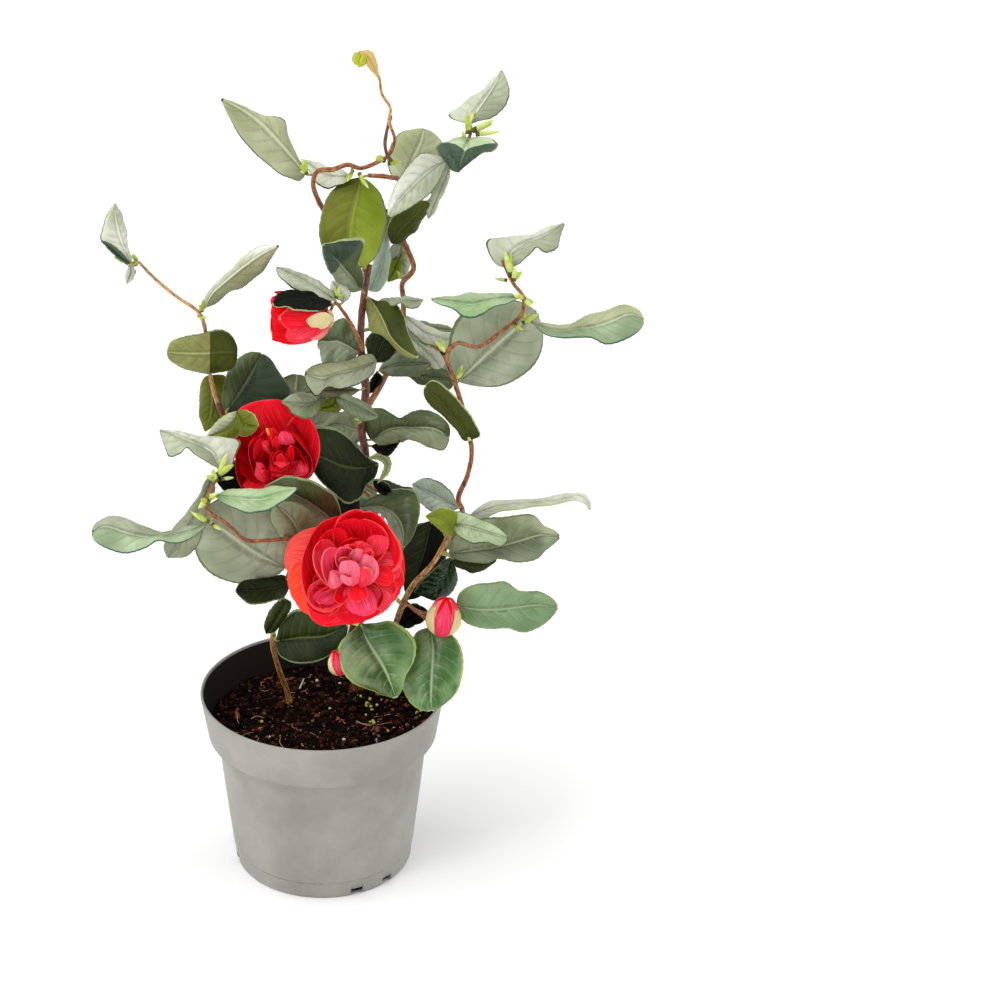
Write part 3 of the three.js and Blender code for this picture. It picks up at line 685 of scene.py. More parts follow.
def sprout(base, way, length, width, count):
    """A tuft of pointed scales on a brown foot. Each scale's radius is half the width times 1.6 times
    1 - t to the 0.75 times t + 0.1 to the 0.45, on a line that bends as t * t."""
    t = np.linspace(0, 1, 10)
    for i in range(count):
        lean = unit(way + chance.normal(0, SCALE_FAN if i else SCALE_LEAN, 3))
        size = length * (1 - 0.13 * i)
        bend = np.cross(lean, chance.normal(0, 1, 3)) * 0.08 * size
        line = base + lean * size * t[:, None] + bend * (t * t)[:, None]
        radius = width / 2 * (1.6 * (1 - t) ** 0.75 * (t + 0.1) ** 0.45) + 0.05
        tube(buds, line, radius, "bud_lime" if i % 3 else "bud_tip")
    foot = np.array([base - unit(way) * 1.5, base + unit(way) * 2.5])
    tube(buds, foot, np.array([width * 0.42, width * 0.36]), "bud_scale")


# Blades: leaves and petals

HALF_BLADE = np.array([0, 0.05, 0.15, 0.3, 0.46, 0.62, 0.78, 0.93, 1.0])
ACROSS = np.concatenate([-HALF_BLADE[:0:-1], HALF_BLADE])
LEAF_ROWS = 62
PETAL_ROWS = 24
TOOTH_PITCH = 4.2
TOOTH_DEPTH = 0.55
PUCKER = 0.42
RIB_HEIGHT = 0.7
LEAF_THICKNESS = 0.55
PETAL_THICKNESS = 0.4


def photo_lines(rows, base, tip, left, right, spine=(), deep=(0, 0), bow=0.0):
    """A blade's midrib and its two margins, in mm, from photo points that are listed as x, y, x, y. Left
    and right are as seen on the way from base to tip. The depth runs evenly from base to tip, less
    bow * sin(pi * part), and each margin lies deep further back half way along. With no spine the midrib
    is midway between them."""
    part = np.linspace(0, 1, rows + 2)[1:-1]
    arch = np.sin(math.pi * part)
    depth = base[2] + (tip[2] - base[2]) * part - bow * arch
    flat = []
    for points in (left, right, spine):
        bends = np.reshape([*base[:2], *points, *tip[:2]], (-1, 2))
        flat.append(smooth_line(np.pad(bends, ((0, 0), (0, 1))), rows + 2)[1:-1])
    if not spine:
        flat[2] = (flat[0] + flat[1]) / 2
    backs = (deep[0], deep[1], 0.0)
    lines = [sight(line[:, 0], line[:, 1], depth + back * arch**0.7) for line, back in zip(flat, backs)]
    return lines[2], lines[0], lines[1]


def blade_rings(middle, left, right, toward, offset, thick, rib=0.0, under=False):
    """A thin closed sheet between a midrib and two margins. The point at share t across is the midrib
    plus |t| times the way to that side's margin, plus offset along the sheet's normal, which is turned
    toward the given way. Half the thickness is added each way, and the rib on the under side."""
    share = np.abs(ACROSS)[None, :, None]
    margin = np.where(ACROSS[None, :, None] < 0, left[:, None], right[:, None])
    sheet = middle[:, None] + share * (margin - middle[:, None])
    for lift in (offset, offset * 0):
        normal = unit(np.cross(np.gradient(sheet, axis=1), np.gradient(sheet, axis=0)))
        if np.sum(normal @ toward) < 0:
            normal = -normal
        sheet = sheet + normal * lift[..., None]
    front = sheet + normal * (thick / 2 + (rib if under else 0.0))[..., None]
    back = sheet - normal * (thick / 2 + (0.0 if under else rib))[..., None]
    rows = np.linspace(0, 1, len(middle))[:, None]
    places = np.stack(np.broadcast_arrays((ACROSS[None, :] + 1) / 2, rows), -1)
    return np.concatenate([front, back[:, ::-1]], 1), np.concatenate([places, places[:, ::-1]], 1)


def blade_finishes(rows, front, back, edge=None, far=None):
    """A finish for each face, rows by columns. The front may be one for each half, far is another front
    beyond a share of the length, and edge is the outermost strip and rim, or one for each side."""
    count = len(ACROSS)
    halves = front if isinstance(front, tuple) else (front, front)
    edges = edge if isinstance(edge, tuple) else (edge, edge)
    strip = [halves[0]] * (count // 2) + [halves[1]] * (count // 2)
    strip += [edges[1] or back] + [back] * (count - 1) + [edges[0] or back]
    names = np.array([strip] * (rows - 1), object)
    if far:
        names[int(rows * far[1]):, : count - 1] = far[0]
    if edges[0] and edges[1]:
        names[-1, : count - 1] = edges[0]
    for column, tone in ((0, edges[0]), (count - 2, edges[1])):
        if tone:
            names[:, column] = tone
    return names


def named(prefix, tones):
    """Finish names from the short ones of the tables. A name that is whole stays as it is."""
    if isinstance(tones, tuple):
        return tuple(named(prefix, tone) for tone in tones)
    whole = "%s%s" % (prefix, tones)
    return whole if whole in finishes else tones


def leaf_blade(target, middle, left, right, toward, front="sage", back="grey", edge="moss", far=None,
               bulge=1.6, ripple=1.1, waves=2.0, roll=1.2, under=False):
    """One leaf on its three lines: toothed margins, halves that bulge between midrib and margin, ripples
    that grow towards the margin, puckers between the side veins and margins that roll back. The midrib
    stands out on the under side, which faces the viewer where under is true."""
    rows = len(middle)
    part = np.linspace(0, 1, rows)[:, None]
    envelope = np.sin(math.pi * (0.02 + 0.96 * part)) ** 0.7
    length = np.sum(np.linalg.norm(np.diff(middle, axis=0), axis=1))
    tooth = TOOTH_DEPTH * ((part * length / TOOTH_PITCH) % 1.0) * envelope
    left = left + unit(left - middle) * tooth
    right = right + unit(right - middle) * tooth
    share = np.abs(ACROSS)[None, :]
    side = np.sign(ACROSS)[None, :]
    drift = chance.normal(0, 1, 3)
    wave = np.sin(FULL_TURN * waves * part + 2 * drift[0] + side * (1.3 + 0.5 * drift[1]))
    wave = wave + 0.5 * np.sin(FULL_TURN * (waves * 1.9) * part + 2 * drift[2] - side)
    vein = LEAF_VEINS * (part - VEIN_SLANT * share**1.3) + 0.25 * side
    offset = bulge * 4 * share * (1 - share) + ripple * share**1.7 * wave - roll * share**5
    offset = offset - PUCKER * np.cos(FULL_TURN * vein) * 4 * share * (1 - share)
    offset = (offset + (0.4 if under else -0.8) * np.exp(-((share / 0.08) ** 2))) * envelope
    thick = LEAF_THICKNESS * (1 - 0.35 * share**4) + 0 * part
    rib = RIB_HEIGHT * np.exp(-((share / 0.06) ** 2)) * (1 - 0.75 * part)
    rings, places = blade_rings(middle, left, right, toward, offset, thick, rib, under)
    front, back, far = (named("leaf_", tones) for tones in (front, back, far))
    target.add(rings, blade_finishes(rows, front, back, named("edge_", edge), far), places)


def grow_stalk(base, ahead):
    """A leaf's stalk from the nearest limb to its blade. Across a wide gap it is carried by a twig,
    which then counts as a limb."""
    limb, radius = nearest_limb(base)
    gap = np.linalg.norm(base - limb)
    way = unit(base - limb)
    start = limb + way * min(radius * 0.5, gap * 0.5)
    if gap > TWIG_GAP:
        turn = base - way * 6 - ahead * 3
        sag = np.array([0, 0, -0.05 * gap])
        line = smooth_line([start, (start + turn) / 2 + sag, turn], 14)
        tube(twigs, line, np.linspace(1.45, 1.15, 14), "bark_young", 10)
        limb_samples.append(np.column_stack([line, np.full(14, 1.2)]))
        start = turn
    line = smooth_line([start, base - ahead * 0.6, base + ahead * 3], 10)
    tube(stalks, line, np.linspace(1.1, 0.5, 10), "stalk_green")


def photo_leaf(target, base, tip, left, right, spine=(), deep=(0, 0), bow=0.0, foot=None, stalk=True,
               **looks):
    """A leaf that the photo shows, from its outline there, on a stalk from the nearest limb to its base,
    or to its foot where it hangs by another place."""
    middle, left, right = photo_lines(LEAF_ROWS, base, tip, left, right, spine, deep, bow)
    toward = unit(CAMERA_PLACE - middle.mean(0))
    leaf_blade(target, middle, left, right, toward, **looks)
    if stalk:
        place = sight(*foot) if foot else middle[0]
        grow_stalk(place, unit((middle[30] if foot else middle[5]) - place))


# Leaves that the photo shows, by the mass that they make up. Points are photo pixels, x and y in turn,
# and a base or tip then has its depth in mm. Deep is how far back the left and right margins lie.

# A front with one tone for each half is partly painted light: one half lit, the other in painted shade
LEAVES = {}
LEAVES["crown_left"] = [
    dict(base=(306, 175, -2), tip=(220, 98, -20), spine=(295, 160, 277, 139, 258, 120, 240, 108),
         left=(299, 181, 290, 178, 279, 174, 260, 159, 241, 138, 230, 120),
         right=(299, 158, 290, 138, 284, 120, 262, 114, 240, 105), deep=(9, 6), front="khaki", back="dark",
         edge="dark", under=True, ripple=0.6),
]
LEAVES["crown_front"] = [
    dict(base=(350, 176, -2), tip=(301, 159, 35), left=(344, 183, 332, 187, 320, 184, 309, 171),
         right=(342, 170, 328, 166, 313, 161), deep=(-9, 9), front="silver", back="dark", edge="dark"),
    dict(base=(361, 177, 2), tip=(362, 269, -22), spine=(357, 197, 352, 217, 350, 238, 355, 256),
         left=(370, 182, 381, 194, 387, 216, 384, 238, 375, 258),
         right=(345, 181, 330, 193, 321, 213, 319, 236, 327, 256, 345, 267), deep=(9, 9),
         front=("lime", "olive"), back="deep", under=True, ripple=0.6),
]
LEAVES["crown_back"] = [
    dict(base=(402, 186, 24), tip=(424, 129, 60), left=(390, 172, 389, 152, 396, 137, 408, 129),
         right=(424, 178, 440, 162, 444, 146, 436, 134), front="khaki", bulge=1.5),
]
LEAVES["crown_right"] = [
    dict(base=(448, 160, 0), tip=(388, 218, -22), spine=(431, 170, 411, 188, 396, 205),
         left=(443, 172, 437, 184, 427, 196, 412, 206, 397, 214),
         right=(438, 156, 421, 153, 410, 163, 398, 181, 388, 202), deep=(-3, 7), front=("sage", "silver"),
         back="sage"),
    dict(base=(448, 161, 2), tip=(428, 219, 20), left=(451, 172, 446, 186, 440, 202, 434, 213),
         right=(440, 176, 432, 192, 427, 208), deep=(8, -5), back="khaki"),
    dict(base=(391, 243, 36), tip=(430, 201, 8), left=(387, 232, 391, 220, 403, 209, 418, 202),
         right=(401, 244, 412, 235, 422, 223, 428, 212), deep=(-4, 8), front="dusk", back="deep",
         edge="pale", under=True),
]
LEAVES["top_right"] = [
    dict(base=(469, 124, -6), tip=(502, 70, 14), spine=(478, 110, 490, 92, 498, 79),
         left=(455, 120, 448, 115, 462, 103, 478, 93, 491, 78),
         right=(480, 120, 493, 117, 503, 108, 509, 94, 507, 81), deep=(7, -4), front=("silver", "sage"),
         bulge=1.4),
    # Its mint part near the foot is painted as lit, and its far part in teal_dark is painted shade on the
    # drooping tip
    dict(base=(469, 138, -6), tip=(458, 173, -42), spine=(466, 147, 462, 160),
         left=(485, 137, 498, 144, 482, 153, 468, 164), right=(452, 138, 436, 148, 443, 159, 450, 169),
         deep=(6, 6), bow=4, front="mint", back="dark", far=("teal_dark", 0.36)),
]
LEAVES["collar_left"] = [
    dict(base=(362, 290, -10), tip=(322, 244, -50), spine=(352, 277, 338, 262),
         left=(353, 293, 341, 289, 331, 276, 323, 258),
         right=(364, 278, 359, 262, 365, 243, 350, 242, 334, 243), deep=(5, -5), front=("slate", "deep"),
         edge="pale", roll=3, far=("teal_dark", 0.56)),
]
LEAVES["collar_right"] = [
    dict(base=(387, 228, 38), tip=(369, 291, 30), left=(390, 246, 390, 264, 388, 280, 379, 291),
         right=(383, 240, 375, 258, 367, 274, 366, 284), deep=(5, 5), front="teal", back="sage",
         edge="pale"),
    dict(base=(402, 240, 40), tip=(400, 279, 62), left=(409, 247, 411, 260, 407, 273),
         right=(394, 245, 389, 255, 391, 269)),
    dict(base=(401, 259, 44), tip=(388, 282, 54), left=(402, 269, 397, 279), right=(391, 261, 387, 272),
         front="lime", back="lime"),
]
LEAVES["side"] = [
    dict(base=(336, 301, -30), tip=(276, 267, -42), spine=(320, 291, 300, 279),
         left=(326, 300, 305, 292, 291, 286, 281, 278), right=(335, 292, 320, 282, 304, 273, 290, 269),
         deep=(-9, 9), front="silver", back="dark", edge="dark"),
    dict(base=(333, 304, -34), tip=(272, 305, -74), left=(320, 311, 306, 310, 290, 307, 279, 307),
         right=(330, 301, 320, 296, 305, 290, 288, 289, 277, 295), deep=(-8, 12), bow=4, front="black",
         back="khaki", edge=("pale", "dark")),
    dict(base=(343, 302, -28), tip=(332, 281, -14), left=(335, 297, 330, 287),
         right=(350, 296, 348, 288, 339, 281), front="silver", back="sage"),
]
LEAVES["inner_right"] = [
    dict(base=(368, 297, -4), tip=(419, 358, -50), spine=(377, 308, 385, 322, 391, 336, 403, 349),
         left=(379, 301, 396, 303, 404, 315, 408, 332, 415, 347),
         right=(365, 308, 367, 321, 371, 332, 384, 336, 396, 351, 409, 357), deep=(10, 8),
         front=("dusk", "olive_grey"), back="deep", edge="pale", under=True),
    dict(base=(376, 303, 0), tip=(424, 300, -20), left=(385, 299, 400, 298, 414, 297),
         right=(388, 304, 402, 304, 416, 307), deep=(9, -8), back="dark"),
    dict(base=(404, 316, 50), tip=(455, 343, 22), left=(413, 317, 430, 327, 445, 331, 454, 334),
         right=(408, 327, 420, 339, 436, 346, 448, 349), deep=(7, -6), front="silver", back="sage"),
    dict(base=(411, 319, 50), tip=(457, 331, 42), left=(424, 322, 444, 325), right=(424, 330, 442, 335),
         deep=(7, -6), front="moss", back="deep"),
    dict(base=(405, 327, 50), tip=(441, 370, 4), left=(415, 336, 427, 345, 440, 353, 445, 363),
         right=(408, 340, 416, 351, 424, 361, 432, 368), deep=(5, -5), front="silver"),
]
LEAVES["inner_low"] = [
    dict(base=(359, 353, 10), tip=(318, 342, 34), left=(350, 361, 335, 364, 322, 362),
         right=(358, 338, 352, 326, 343, 318, 332, 322, 322, 331), deep=(-4, 5), front=("slate", "deep"),
         ripple=2.2, waves=3),
    dict(base=(372, 363, 10), tip=(389, 330, 34), left=(367, 350, 368, 337, 378, 330),
         right=(386, 361, 396, 350, 394, 338), front="dark"),
    dict(base=(379, 370, 36), tip=(431, 364, 8), left=(384, 361, 396, 353, 412, 352, 425, 358),
         right=(387, 375, 402, 376, 417, 375), deep=(6, -7), front="slate"),
    dict(base=(408, 376, 38), tip=(456, 379, 52), left=(418, 370, 432, 368, 448, 370),
         right=(420, 383, 434, 388, 450, 389), deep=(8, -7), front="deep", back="dark"),
    dict(base=(377, 371, 30), tip=(369, 394, 24), left=(383, 379, 376, 390), right=(372, 378, 369, 386),
         front="black", back="black", ripple=0.3),
]
LEAVES["right_round"] = [
    dict(base=(458, 382, -18), tip=(538, 312, 24), spine=(480, 361, 505, 338, 522, 323),
         left=(449, 362, 450, 340, 458, 319, 476, 305, 500, 299, 524, 303),
         right=(476, 386, 496, 387, 515, 381, 531, 370, 542, 351, 543, 330), deep=(2, 3), bulge=2.2,
         ripple=0.6, roll=2),
    dict(base=(519, 298, -16), tip=(430, 299, -40), left=(506, 303, 490, 309, 472, 316, 452, 309),
         right=(508, 293, 485, 292, 460, 294, 444, 296), deep=(-13, 11), bow=2, front="mint", back="glossy",
         edge="teal"),
]
LEAVES["right_top"] = [
    dict(base=(508, 268, -6), tip=(565, 223, 18), spine=(510, 255, 524, 244, 543, 236),
         left=(497, 265, 489, 254, 487, 241, 502, 237, 525, 235, 547, 227),
         right=(519, 264, 529, 254, 538, 245, 548, 252, 557, 248, 560, 236), deep=(5, -7),
         front=("silver", "sage"), back="glossy"),
]
LEAVES["right_tip"] = [
    dict(base=(530, 321, -8), tip=(645, 321, -22),
         spine=(545, 328, 562, 331, 578, 329, 594, 327, 612, 321, 630, 314),
         left=(545, 322, 562, 324, 575, 322, 590, 314, 605, 309, 625, 304, 639, 310),
         right=(545, 334, 562, 337, 577, 335, 590, 337, 606, 344, 624, 340, 639, 331), deep=(11, -9),
         front=("khaki", "soft"), back="deep", edge=("sage", "teal"), ripple=0.9),
]
LEAVES["right_olive"] = [
    dict(base=(471, 440, -28), tip=(424, 386, -50), spine=(462, 426, 449, 411, 437, 397),
         left=(464, 441, 455, 429, 443, 417, 430, 406, 424, 395),
         right=(480, 436, 474, 422, 461, 405, 448, 390, 433, 381), deep=(4, -6), front="dusk", back="mint",
         edge="pale", under=True, ripple=0.5),
]
LEAVES["centre_left"] = [
    dict(base=(377, 361, 4), tip=(304, 373, -44), spine=(360, 368, 340, 373, 322, 378),
         left=(374, 372, 362, 382, 345, 388, 328, 387, 316, 396, 309, 387),
         right=(372, 354, 352, 358, 338, 362, 322, 363, 311, 367), deep=(-10, 9), front=("sage", "khaki"),
         back="dark", edge="dark", ripple=1.4, waves=2.5),
    dict(base=(360, 390, -4), tip=(319, 392, -28), left=(346, 396, 332, 396), right=(345, 386, 330, 387),
         deep=(-5, 5), front="taupe"),
    dict(base=(324, 397, -20), tip=(281, 402, -58), left=(321, 406, 311, 418, 297, 414, 286, 406),
         right=(316, 393, 304, 392, 290, 395), deep=(-10, 9), front=("moss", "sage"), back="dark"),
    dict(base=(335, 396, -20), tip=(316, 409, -34), left=(342, 401, 341, 410, 328, 412),
         right=(328, 398, 320, 404), front="olive", back="olive"),
    dict(base=(334, 396, -20), tip=(379, 417, -50), left=(345, 394, 357, 397, 368, 404, 375, 411),
         right=(338, 403, 347, 412, 360, 418, 371, 420), deep=(7, -7), front="slate", back="olive"),
]
LEAVES["centre_dark"] = [
    dict(base=(379, 464, -4), tip=(311, 454, -44), spine=(362, 468, 342, 466, 324, 458),
         left=(376, 477, 366, 486, 358, 500, 348, 505, 335, 495, 322, 483, 312, 468),
         right=(370, 460, 360, 450, 348, 437, 334, 428, 316, 428, 310, 442), deep=(4, -4), front="dark",
         back="dark", edge="sage"),
    dict(base=(359, 430, -4), tip=(321, 428, 22), left=(358, 442, 351, 445, 340, 434, 329, 432),
         right=(359, 419, 351, 412, 339, 413, 327, 420), front="moss"),
    dict(base=(366, 459, -6), tip=(377, 484, -22), left=(380, 453, 390, 460, 389, 472),
         right=(378, 460, 384, 465, 382, 473), front="edge_pale", back="olive", ripple=0.2),
]
LEAVES["centre_right"] = [
    dict(base=(371, 440, -4), tip=(450, 438, -34), spine=(390, 429, 415, 427, 436, 429),
         left=(364, 428, 365, 412, 378, 408, 392, 412, 402, 417, 418, 410, 436, 413, 449, 426),
         right=(380, 445, 400, 441, 417, 441, 430, 447, 443, 450), deep=(9, -9), front=("deep", "moss"),
         back="black", ripple=2, waves=3),
    dict(base=(371, 446, -4), tip=(401, 440, -20), left=(383, 441, 393, 439),
         right=(378, 453, 386, 457, 395, 449), front="black", back="black"),
]
LEAVES["left_tip"] = [
    dict(base=(131, 264, 0), tip=(115, 203, 18), spine=(124, 250, 119, 234, 115, 216),
         left=(121, 254, 110, 247, 101, 240, 103, 228, 107, 215),
         right=(132, 256, 128, 245, 127, 230, 123, 215), deep=(-3, 7), front="silver", back="sage",
         under=True, ripple=0.7),
    dict(base=(132, 265, -4), tip=(101, 240, 2), left=(122, 261, 110, 251), right=(125, 257, 113, 246),
         front="teal_dark", back="silver", ripple=0.3),
    dict(base=(131, 263, 0), tip=(127, 284, 3), left=(135, 273, 131, 281), right=(127, 272, 125, 279),
         front="silver", back="sage", edge="dark"),
]
LEAVES["left_arm"] = [
    dict(base=(205, 308, -4), tip=(280, 245, -22), spine=(212, 294, 226, 281, 243, 267, 262, 254),
         left=(205, 298, 212, 287, 225, 273, 241, 259, 258, 247),
         right=(215, 305, 228, 293, 243, 288, 258, 277, 269, 262), deep=(4, 6), front=("silver", "khaki"),
         back="green", edge="dark", under=True),
]
LEAVES["left_cup"] = [
    # Its darker part in dusk at the foot ends in a straight line across the blade: a painted shadow, with
    # the pale tone beyond
    dict(base=(237, 352, -4), tip=(167, 352, -12), left=(234, 367, 220, 374, 196, 372, 178, 367, 169, 360),
         right=(234, 338, 222, 330, 200, 334, 180, 338, 170, 343), deep=(4, 4), bow=3, front="dusk",
         back="khaki", far=("olive_grey", 0.45), foot=(210, 374, -2), under=True),
    dict(base=(211, 375, 18), tip=(205, 432, 36), spine=(212, 392, 212, 410),
         left=(224, 376, 233, 388, 230, 405, 221, 420), right=(204, 378, 199, 394, 199, 410, 201, 424),
         deep=(4, 4), front="olive", back="lime", under=True),
]
LEAVES["left_dark"] = [
    dict(base=(226, 412, 6), tip=(262, 353, 34), spine=(240, 392, 253, 370),
         left=(222, 400, 224, 383, 231, 367, 239, 358, 250, 352),
         right=(246, 420, 270, 412, 288, 402, 293, 392, 280, 374, 270, 358), deep=(4, 4),
         front=("deep", "teal_dark"), ripple=1.6),
    dict(base=(239, 411, -48), tip=(206, 437, -50), left=(243, 424, 236, 437, 222, 440),
         right=(230, 413, 220, 419, 212, 427), deep=(-3, 3), front=("olive", "khaki"), back="olive",
         edge="pale", ripple=0.5),
    dict(base=(237, 411, -50), tip=(259, 425, -64), left=(244, 410, 253, 415),
         right=(236, 422, 241, 436, 251, 434), front="olive", back="khaki", edge="pale", ripple=0.5,
         stalk=False),
    # A near-black leaf put where the left bloom's left side lies in shade: painted shade
    dict(base=(258, 494, -30), tip=(215, 480, -40), left=(245, 497, 228, 494),
         right=(252, 474, 238, 461, 224, 467), front="black", back="black", ripple=0.4),
]
LEAVES["low_left_top"] = [
    dict(base=(218, 468, -76), tip=(159, 430, -62), spine=(212, 453, 192, 442, 173, 434),
         left=(210, 464, 198, 456, 187, 446, 179, 453, 170, 457, 164, 444),
         right=(231, 467, 236, 455, 240, 441, 222, 437, 200, 435, 178, 431), deep=(-7, 5),
         front=("sage", "silver"), back="glossy", ripple=1.0),
]
LEAVES["low_left_shelf"] = [
    dict(base=(213, 495, -84), tip=(299, 488, -106), left=(226, 490, 248, 488, 275, 486),
         right=(222, 502, 240, 509, 262, 512, 278, 503), deep=(11, -13), bow=2, front="mint", back="glossy",
         edge="teal"),
]
LEAVES["low_left_round"] = [
    dict(base=(286, 568, -36), tip=(198, 513, -66), spine=(255, 553, 226, 532),
         left=(279, 574, 262, 581, 240, 585, 218, 579, 201, 564, 194, 545, 193, 527),
         right=(289, 548, 284, 525, 265, 505, 243, 497, 218, 500), deep=(3, 2), bulge=2.2, ripple=0.6,
         roll=2),
    dict(base=(213, 476, -80), tip=(167, 558, -56), spine=(204, 499, 191, 523, 178, 544),
         left=(215, 490, 209, 507, 203, 525, 198, 545, 186, 557),
         right=(206, 480, 198, 495, 188, 511, 173, 528, 164, 546), deep=(3, 5), front="grey"),
]
LEAVES["low_left_tip"] = [
    dict(base=(208, 524, -88), tip=(91, 533, -84),
         spine=(190, 531, 172, 536, 156, 537, 140, 536, 122, 531, 105, 526),
         left=(192, 537, 172, 542, 157, 541, 145, 547, 125, 553, 108, 549, 95, 541),
         right=(192, 525, 172, 530, 158, 531, 145, 525, 125, 518, 108, 516, 95, 523), deep=(-9, 11),
         front=("soft", "sage"), back="deep", edge=("teal", "sage"), ripple=0.9),
]
LEAVES["front_left"] = [
    dict(base=(342, 530, -36), tip=(263, 488, -68), spine=(322, 511, 300, 497, 281, 490),
         left=(328, 533, 308, 527, 292, 514, 276, 500),
         right=(341, 513, 332, 495, 319, 484, 301, 479, 284, 479, 270, 483), deep=(2, -13),
         front=("moss", "deep"), edge="sage", ripple=1.4),
    dict(base=(300, 547, -54), tip=(275, 504, -72), left=(287, 545, 276, 532, 270, 517),
         right=(311, 540, 316, 524, 308, 509, 291, 502), front="moss"),
]
LEAVES["low_left_dark"] = [
    dict(base=(290, 584, -30), tip=(235, 591, -72), left=(286, 595, 272, 601, 256, 603, 242, 599),
         right=(286, 576, 270, 576, 252, 579, 241, 582), deep=(-12, 10), front="dark", back="black"),
    dict(base=(284, 597, -24), tip=(266, 634, -8), left=(291, 605, 286, 617, 277, 630),
         right=(275, 604, 268, 615, 264, 626), front="olive_dark", back="olive"),
    dict(base=(276, 641, -6), tip=(349, 624, -50), spine=(298, 638, 325, 636),
         left=(280, 626, 292, 612, 308, 609, 322, 614, 336, 621),
         right=(279, 656, 297, 663, 318, 661, 335, 651, 345, 638), deep=(3, -4),
         front=("olive_dark", "dark"), back="dark", edge="sage", ripple=1.3),
]
LEAVES["heart_right"] = [
    dict(base=(358, 508, 8), tip=(403, 549, -36), spine=(376, 506, 393, 513, 403, 529),
         left=(366, 500, 382, 493, 400, 488, 416, 492, 420, 508, 416, 528, 410, 541),
         right=(374, 512, 384, 517, 391, 532, 397, 544), deep=(5, 2), front=("deep", "slate"), edge="sage",
         bulge=1.8),
    dict(base=(460, 508, -14), tip=(412, 484, 22), spine=(442, 499, 427, 491),
         left=(446, 512, 430, 511, 420, 503, 414, 494), right=(455, 500, 447, 489, 437, 481, 422, 479),
         front="teal"),
    dict(base=(362, 522, 4), tip=(332, 486, -20), left=(350, 526, 337, 510), right=(357, 494, 343, 482),
         front="black", back="black", ripple=0.4),
    dict(base=(391, 494, 0), tip=(373, 481, -8), left=(384, 495, 375, 488), right=(390, 487, 380, 481),
         front="black", back="black", ripple=0.3),
    dict(base=(455, 537, -32), tip=(425, 516, -50), left=(446, 534, 435, 526),
         right=(461, 528, 457, 514, 446, 508, 435, 511), front="lime", back="lime", edge="pale",
         under=True),
]
LEAVES["right_low_long"] = [
    dict(base=(468, 517, -16), tip=(590, 512, -34),
         spine=(482, 512, 500, 506, 530, 503, 560, 500, 579, 496, 588, 502),
         left=(474, 511, 488, 502, 510, 499, 540, 498, 568, 493, 584, 493, 591, 502),
         right=(482, 519, 500, 511, 525, 508, 555, 504, 575, 500, 585, 504), deep=(9, -9), front="silver",
         back="lime", edge="lime", bulge=0.4, ripple=0.4, roll=0.5),
]
LEAVES["right_low"] = [
    dict(base=(448, 554, -34), tip=(561, 537, -66), spine=(470, 551, 495, 548, 520, 541, 541, 535),
         left=(452, 540, 464, 526, 482, 519, 505, 517, 532, 515, 545, 526, 555, 531),
         right=(456, 559, 477, 562, 502, 560, 521, 562, 536, 559, 548, 549), deep=(9, -8),
         front=("moss", "slate"), back="dark", ripple=2.6, waves=2.5),
    dict(base=(450, 557, -34), tip=(497, 560, -50), left=(465, 556, 482, 556),
         right=(459, 569, 473, 573, 487, 569), deep=(4, 4), front="olive_dark", back="black"),
    dict(base=(450, 524, -32), tip=(509, 538, -84), spine=(470, 527, 490, 533),
         left=(456, 512, 468, 514, 482, 520, 497, 527), right=(458, 535, 472, 543, 487, 542, 500, 546),
         deep=(8, -5), front="mint", back="dark", edge="teal", ripple=1.2),
]
LEAVES["right_low_dark"] = [
    dict(base=(432, 520, -22), tip=(407, 600, -4), left=(444, 535, 446, 558, 434, 580, 418, 598),
         right=(414, 528, 403, 548, 402, 578), front=("black", "dark"), back="black", bulge=2),
    dict(base=(451, 557, -34), tip=(414, 592, -14), left=(456, 568, 457, 582, 449, 595, 431, 600),
         right=(441, 563, 430, 573, 420, 583), front="glossy", back="dark", roll=0.4),
    dict(base=(430, 614, -20), tip=(399, 628, 0), left=(421, 623, 409, 628),
         right=(423, 607, 408, 606, 399, 615), front="black", back="black"),
]
LEAVES["low_right"] = [
    dict(base=(456, 606, -50), tip=(559, 607, -62), spine=(480, 610, 505, 609, 535, 605),
         left=(459, 594, 472, 585, 490, 584, 505, 582, 520, 591, 540, 592, 553, 599),
         right=(460, 617, 470, 625, 490, 629, 508, 628, 523, 633, 540, 627, 552, 617), deep=(5, -5),
         front="fresh", edge="sage", ripple=1.4, waves=2.5),
]
LEAVES["front_low"] = [
    dict(base=(361, 624, -48), tip=(396, 699, -78), spine=(366, 638, 374, 652, 384, 668, 391, 684),
         left=(374, 623, 390, 621, 405, 629, 415, 643, 414, 660, 405, 677, 402, 690),
         right=(350, 633, 340, 643, 338, 657, 343, 672, 355, 684, 377, 693), deep=(3, 3),
         front=("wet_bright", "wet"), edge="lime", bulge=2.4, ripple=1.4),
    dict(base=(430, 627, -36), tip=(431, 712, -76), spine=(433, 648, 432, 670, 431, 692),
         left=(442, 629, 456, 639, 463, 655, 462, 677, 455, 694, 443, 706),
         right=(417, 632, 411, 646, 408, 663, 402, 685, 408, 700, 419, 709), deep=(4, 2),
         front="wet_bright", edge="lime", bulge=2.4, ripple=1.4),
]


def make_photo_leaves():
    """A joined piece of leaves for each mass that the photo shows."""
    for mass, plans in LEAVES.items():
        target = Joined()
        for plan in plans:
            photo_leaf(target, **plan)
        slot = "foliage_dark" if mass.endswith("dark") else "foliage"
        target.write(mass + "_leaves", slot, ["leaves_" + mass])


# Sprays at the back, in mm: the mass, then for each spray its foot on a limb, its furthest tip and the
# way its leaves look

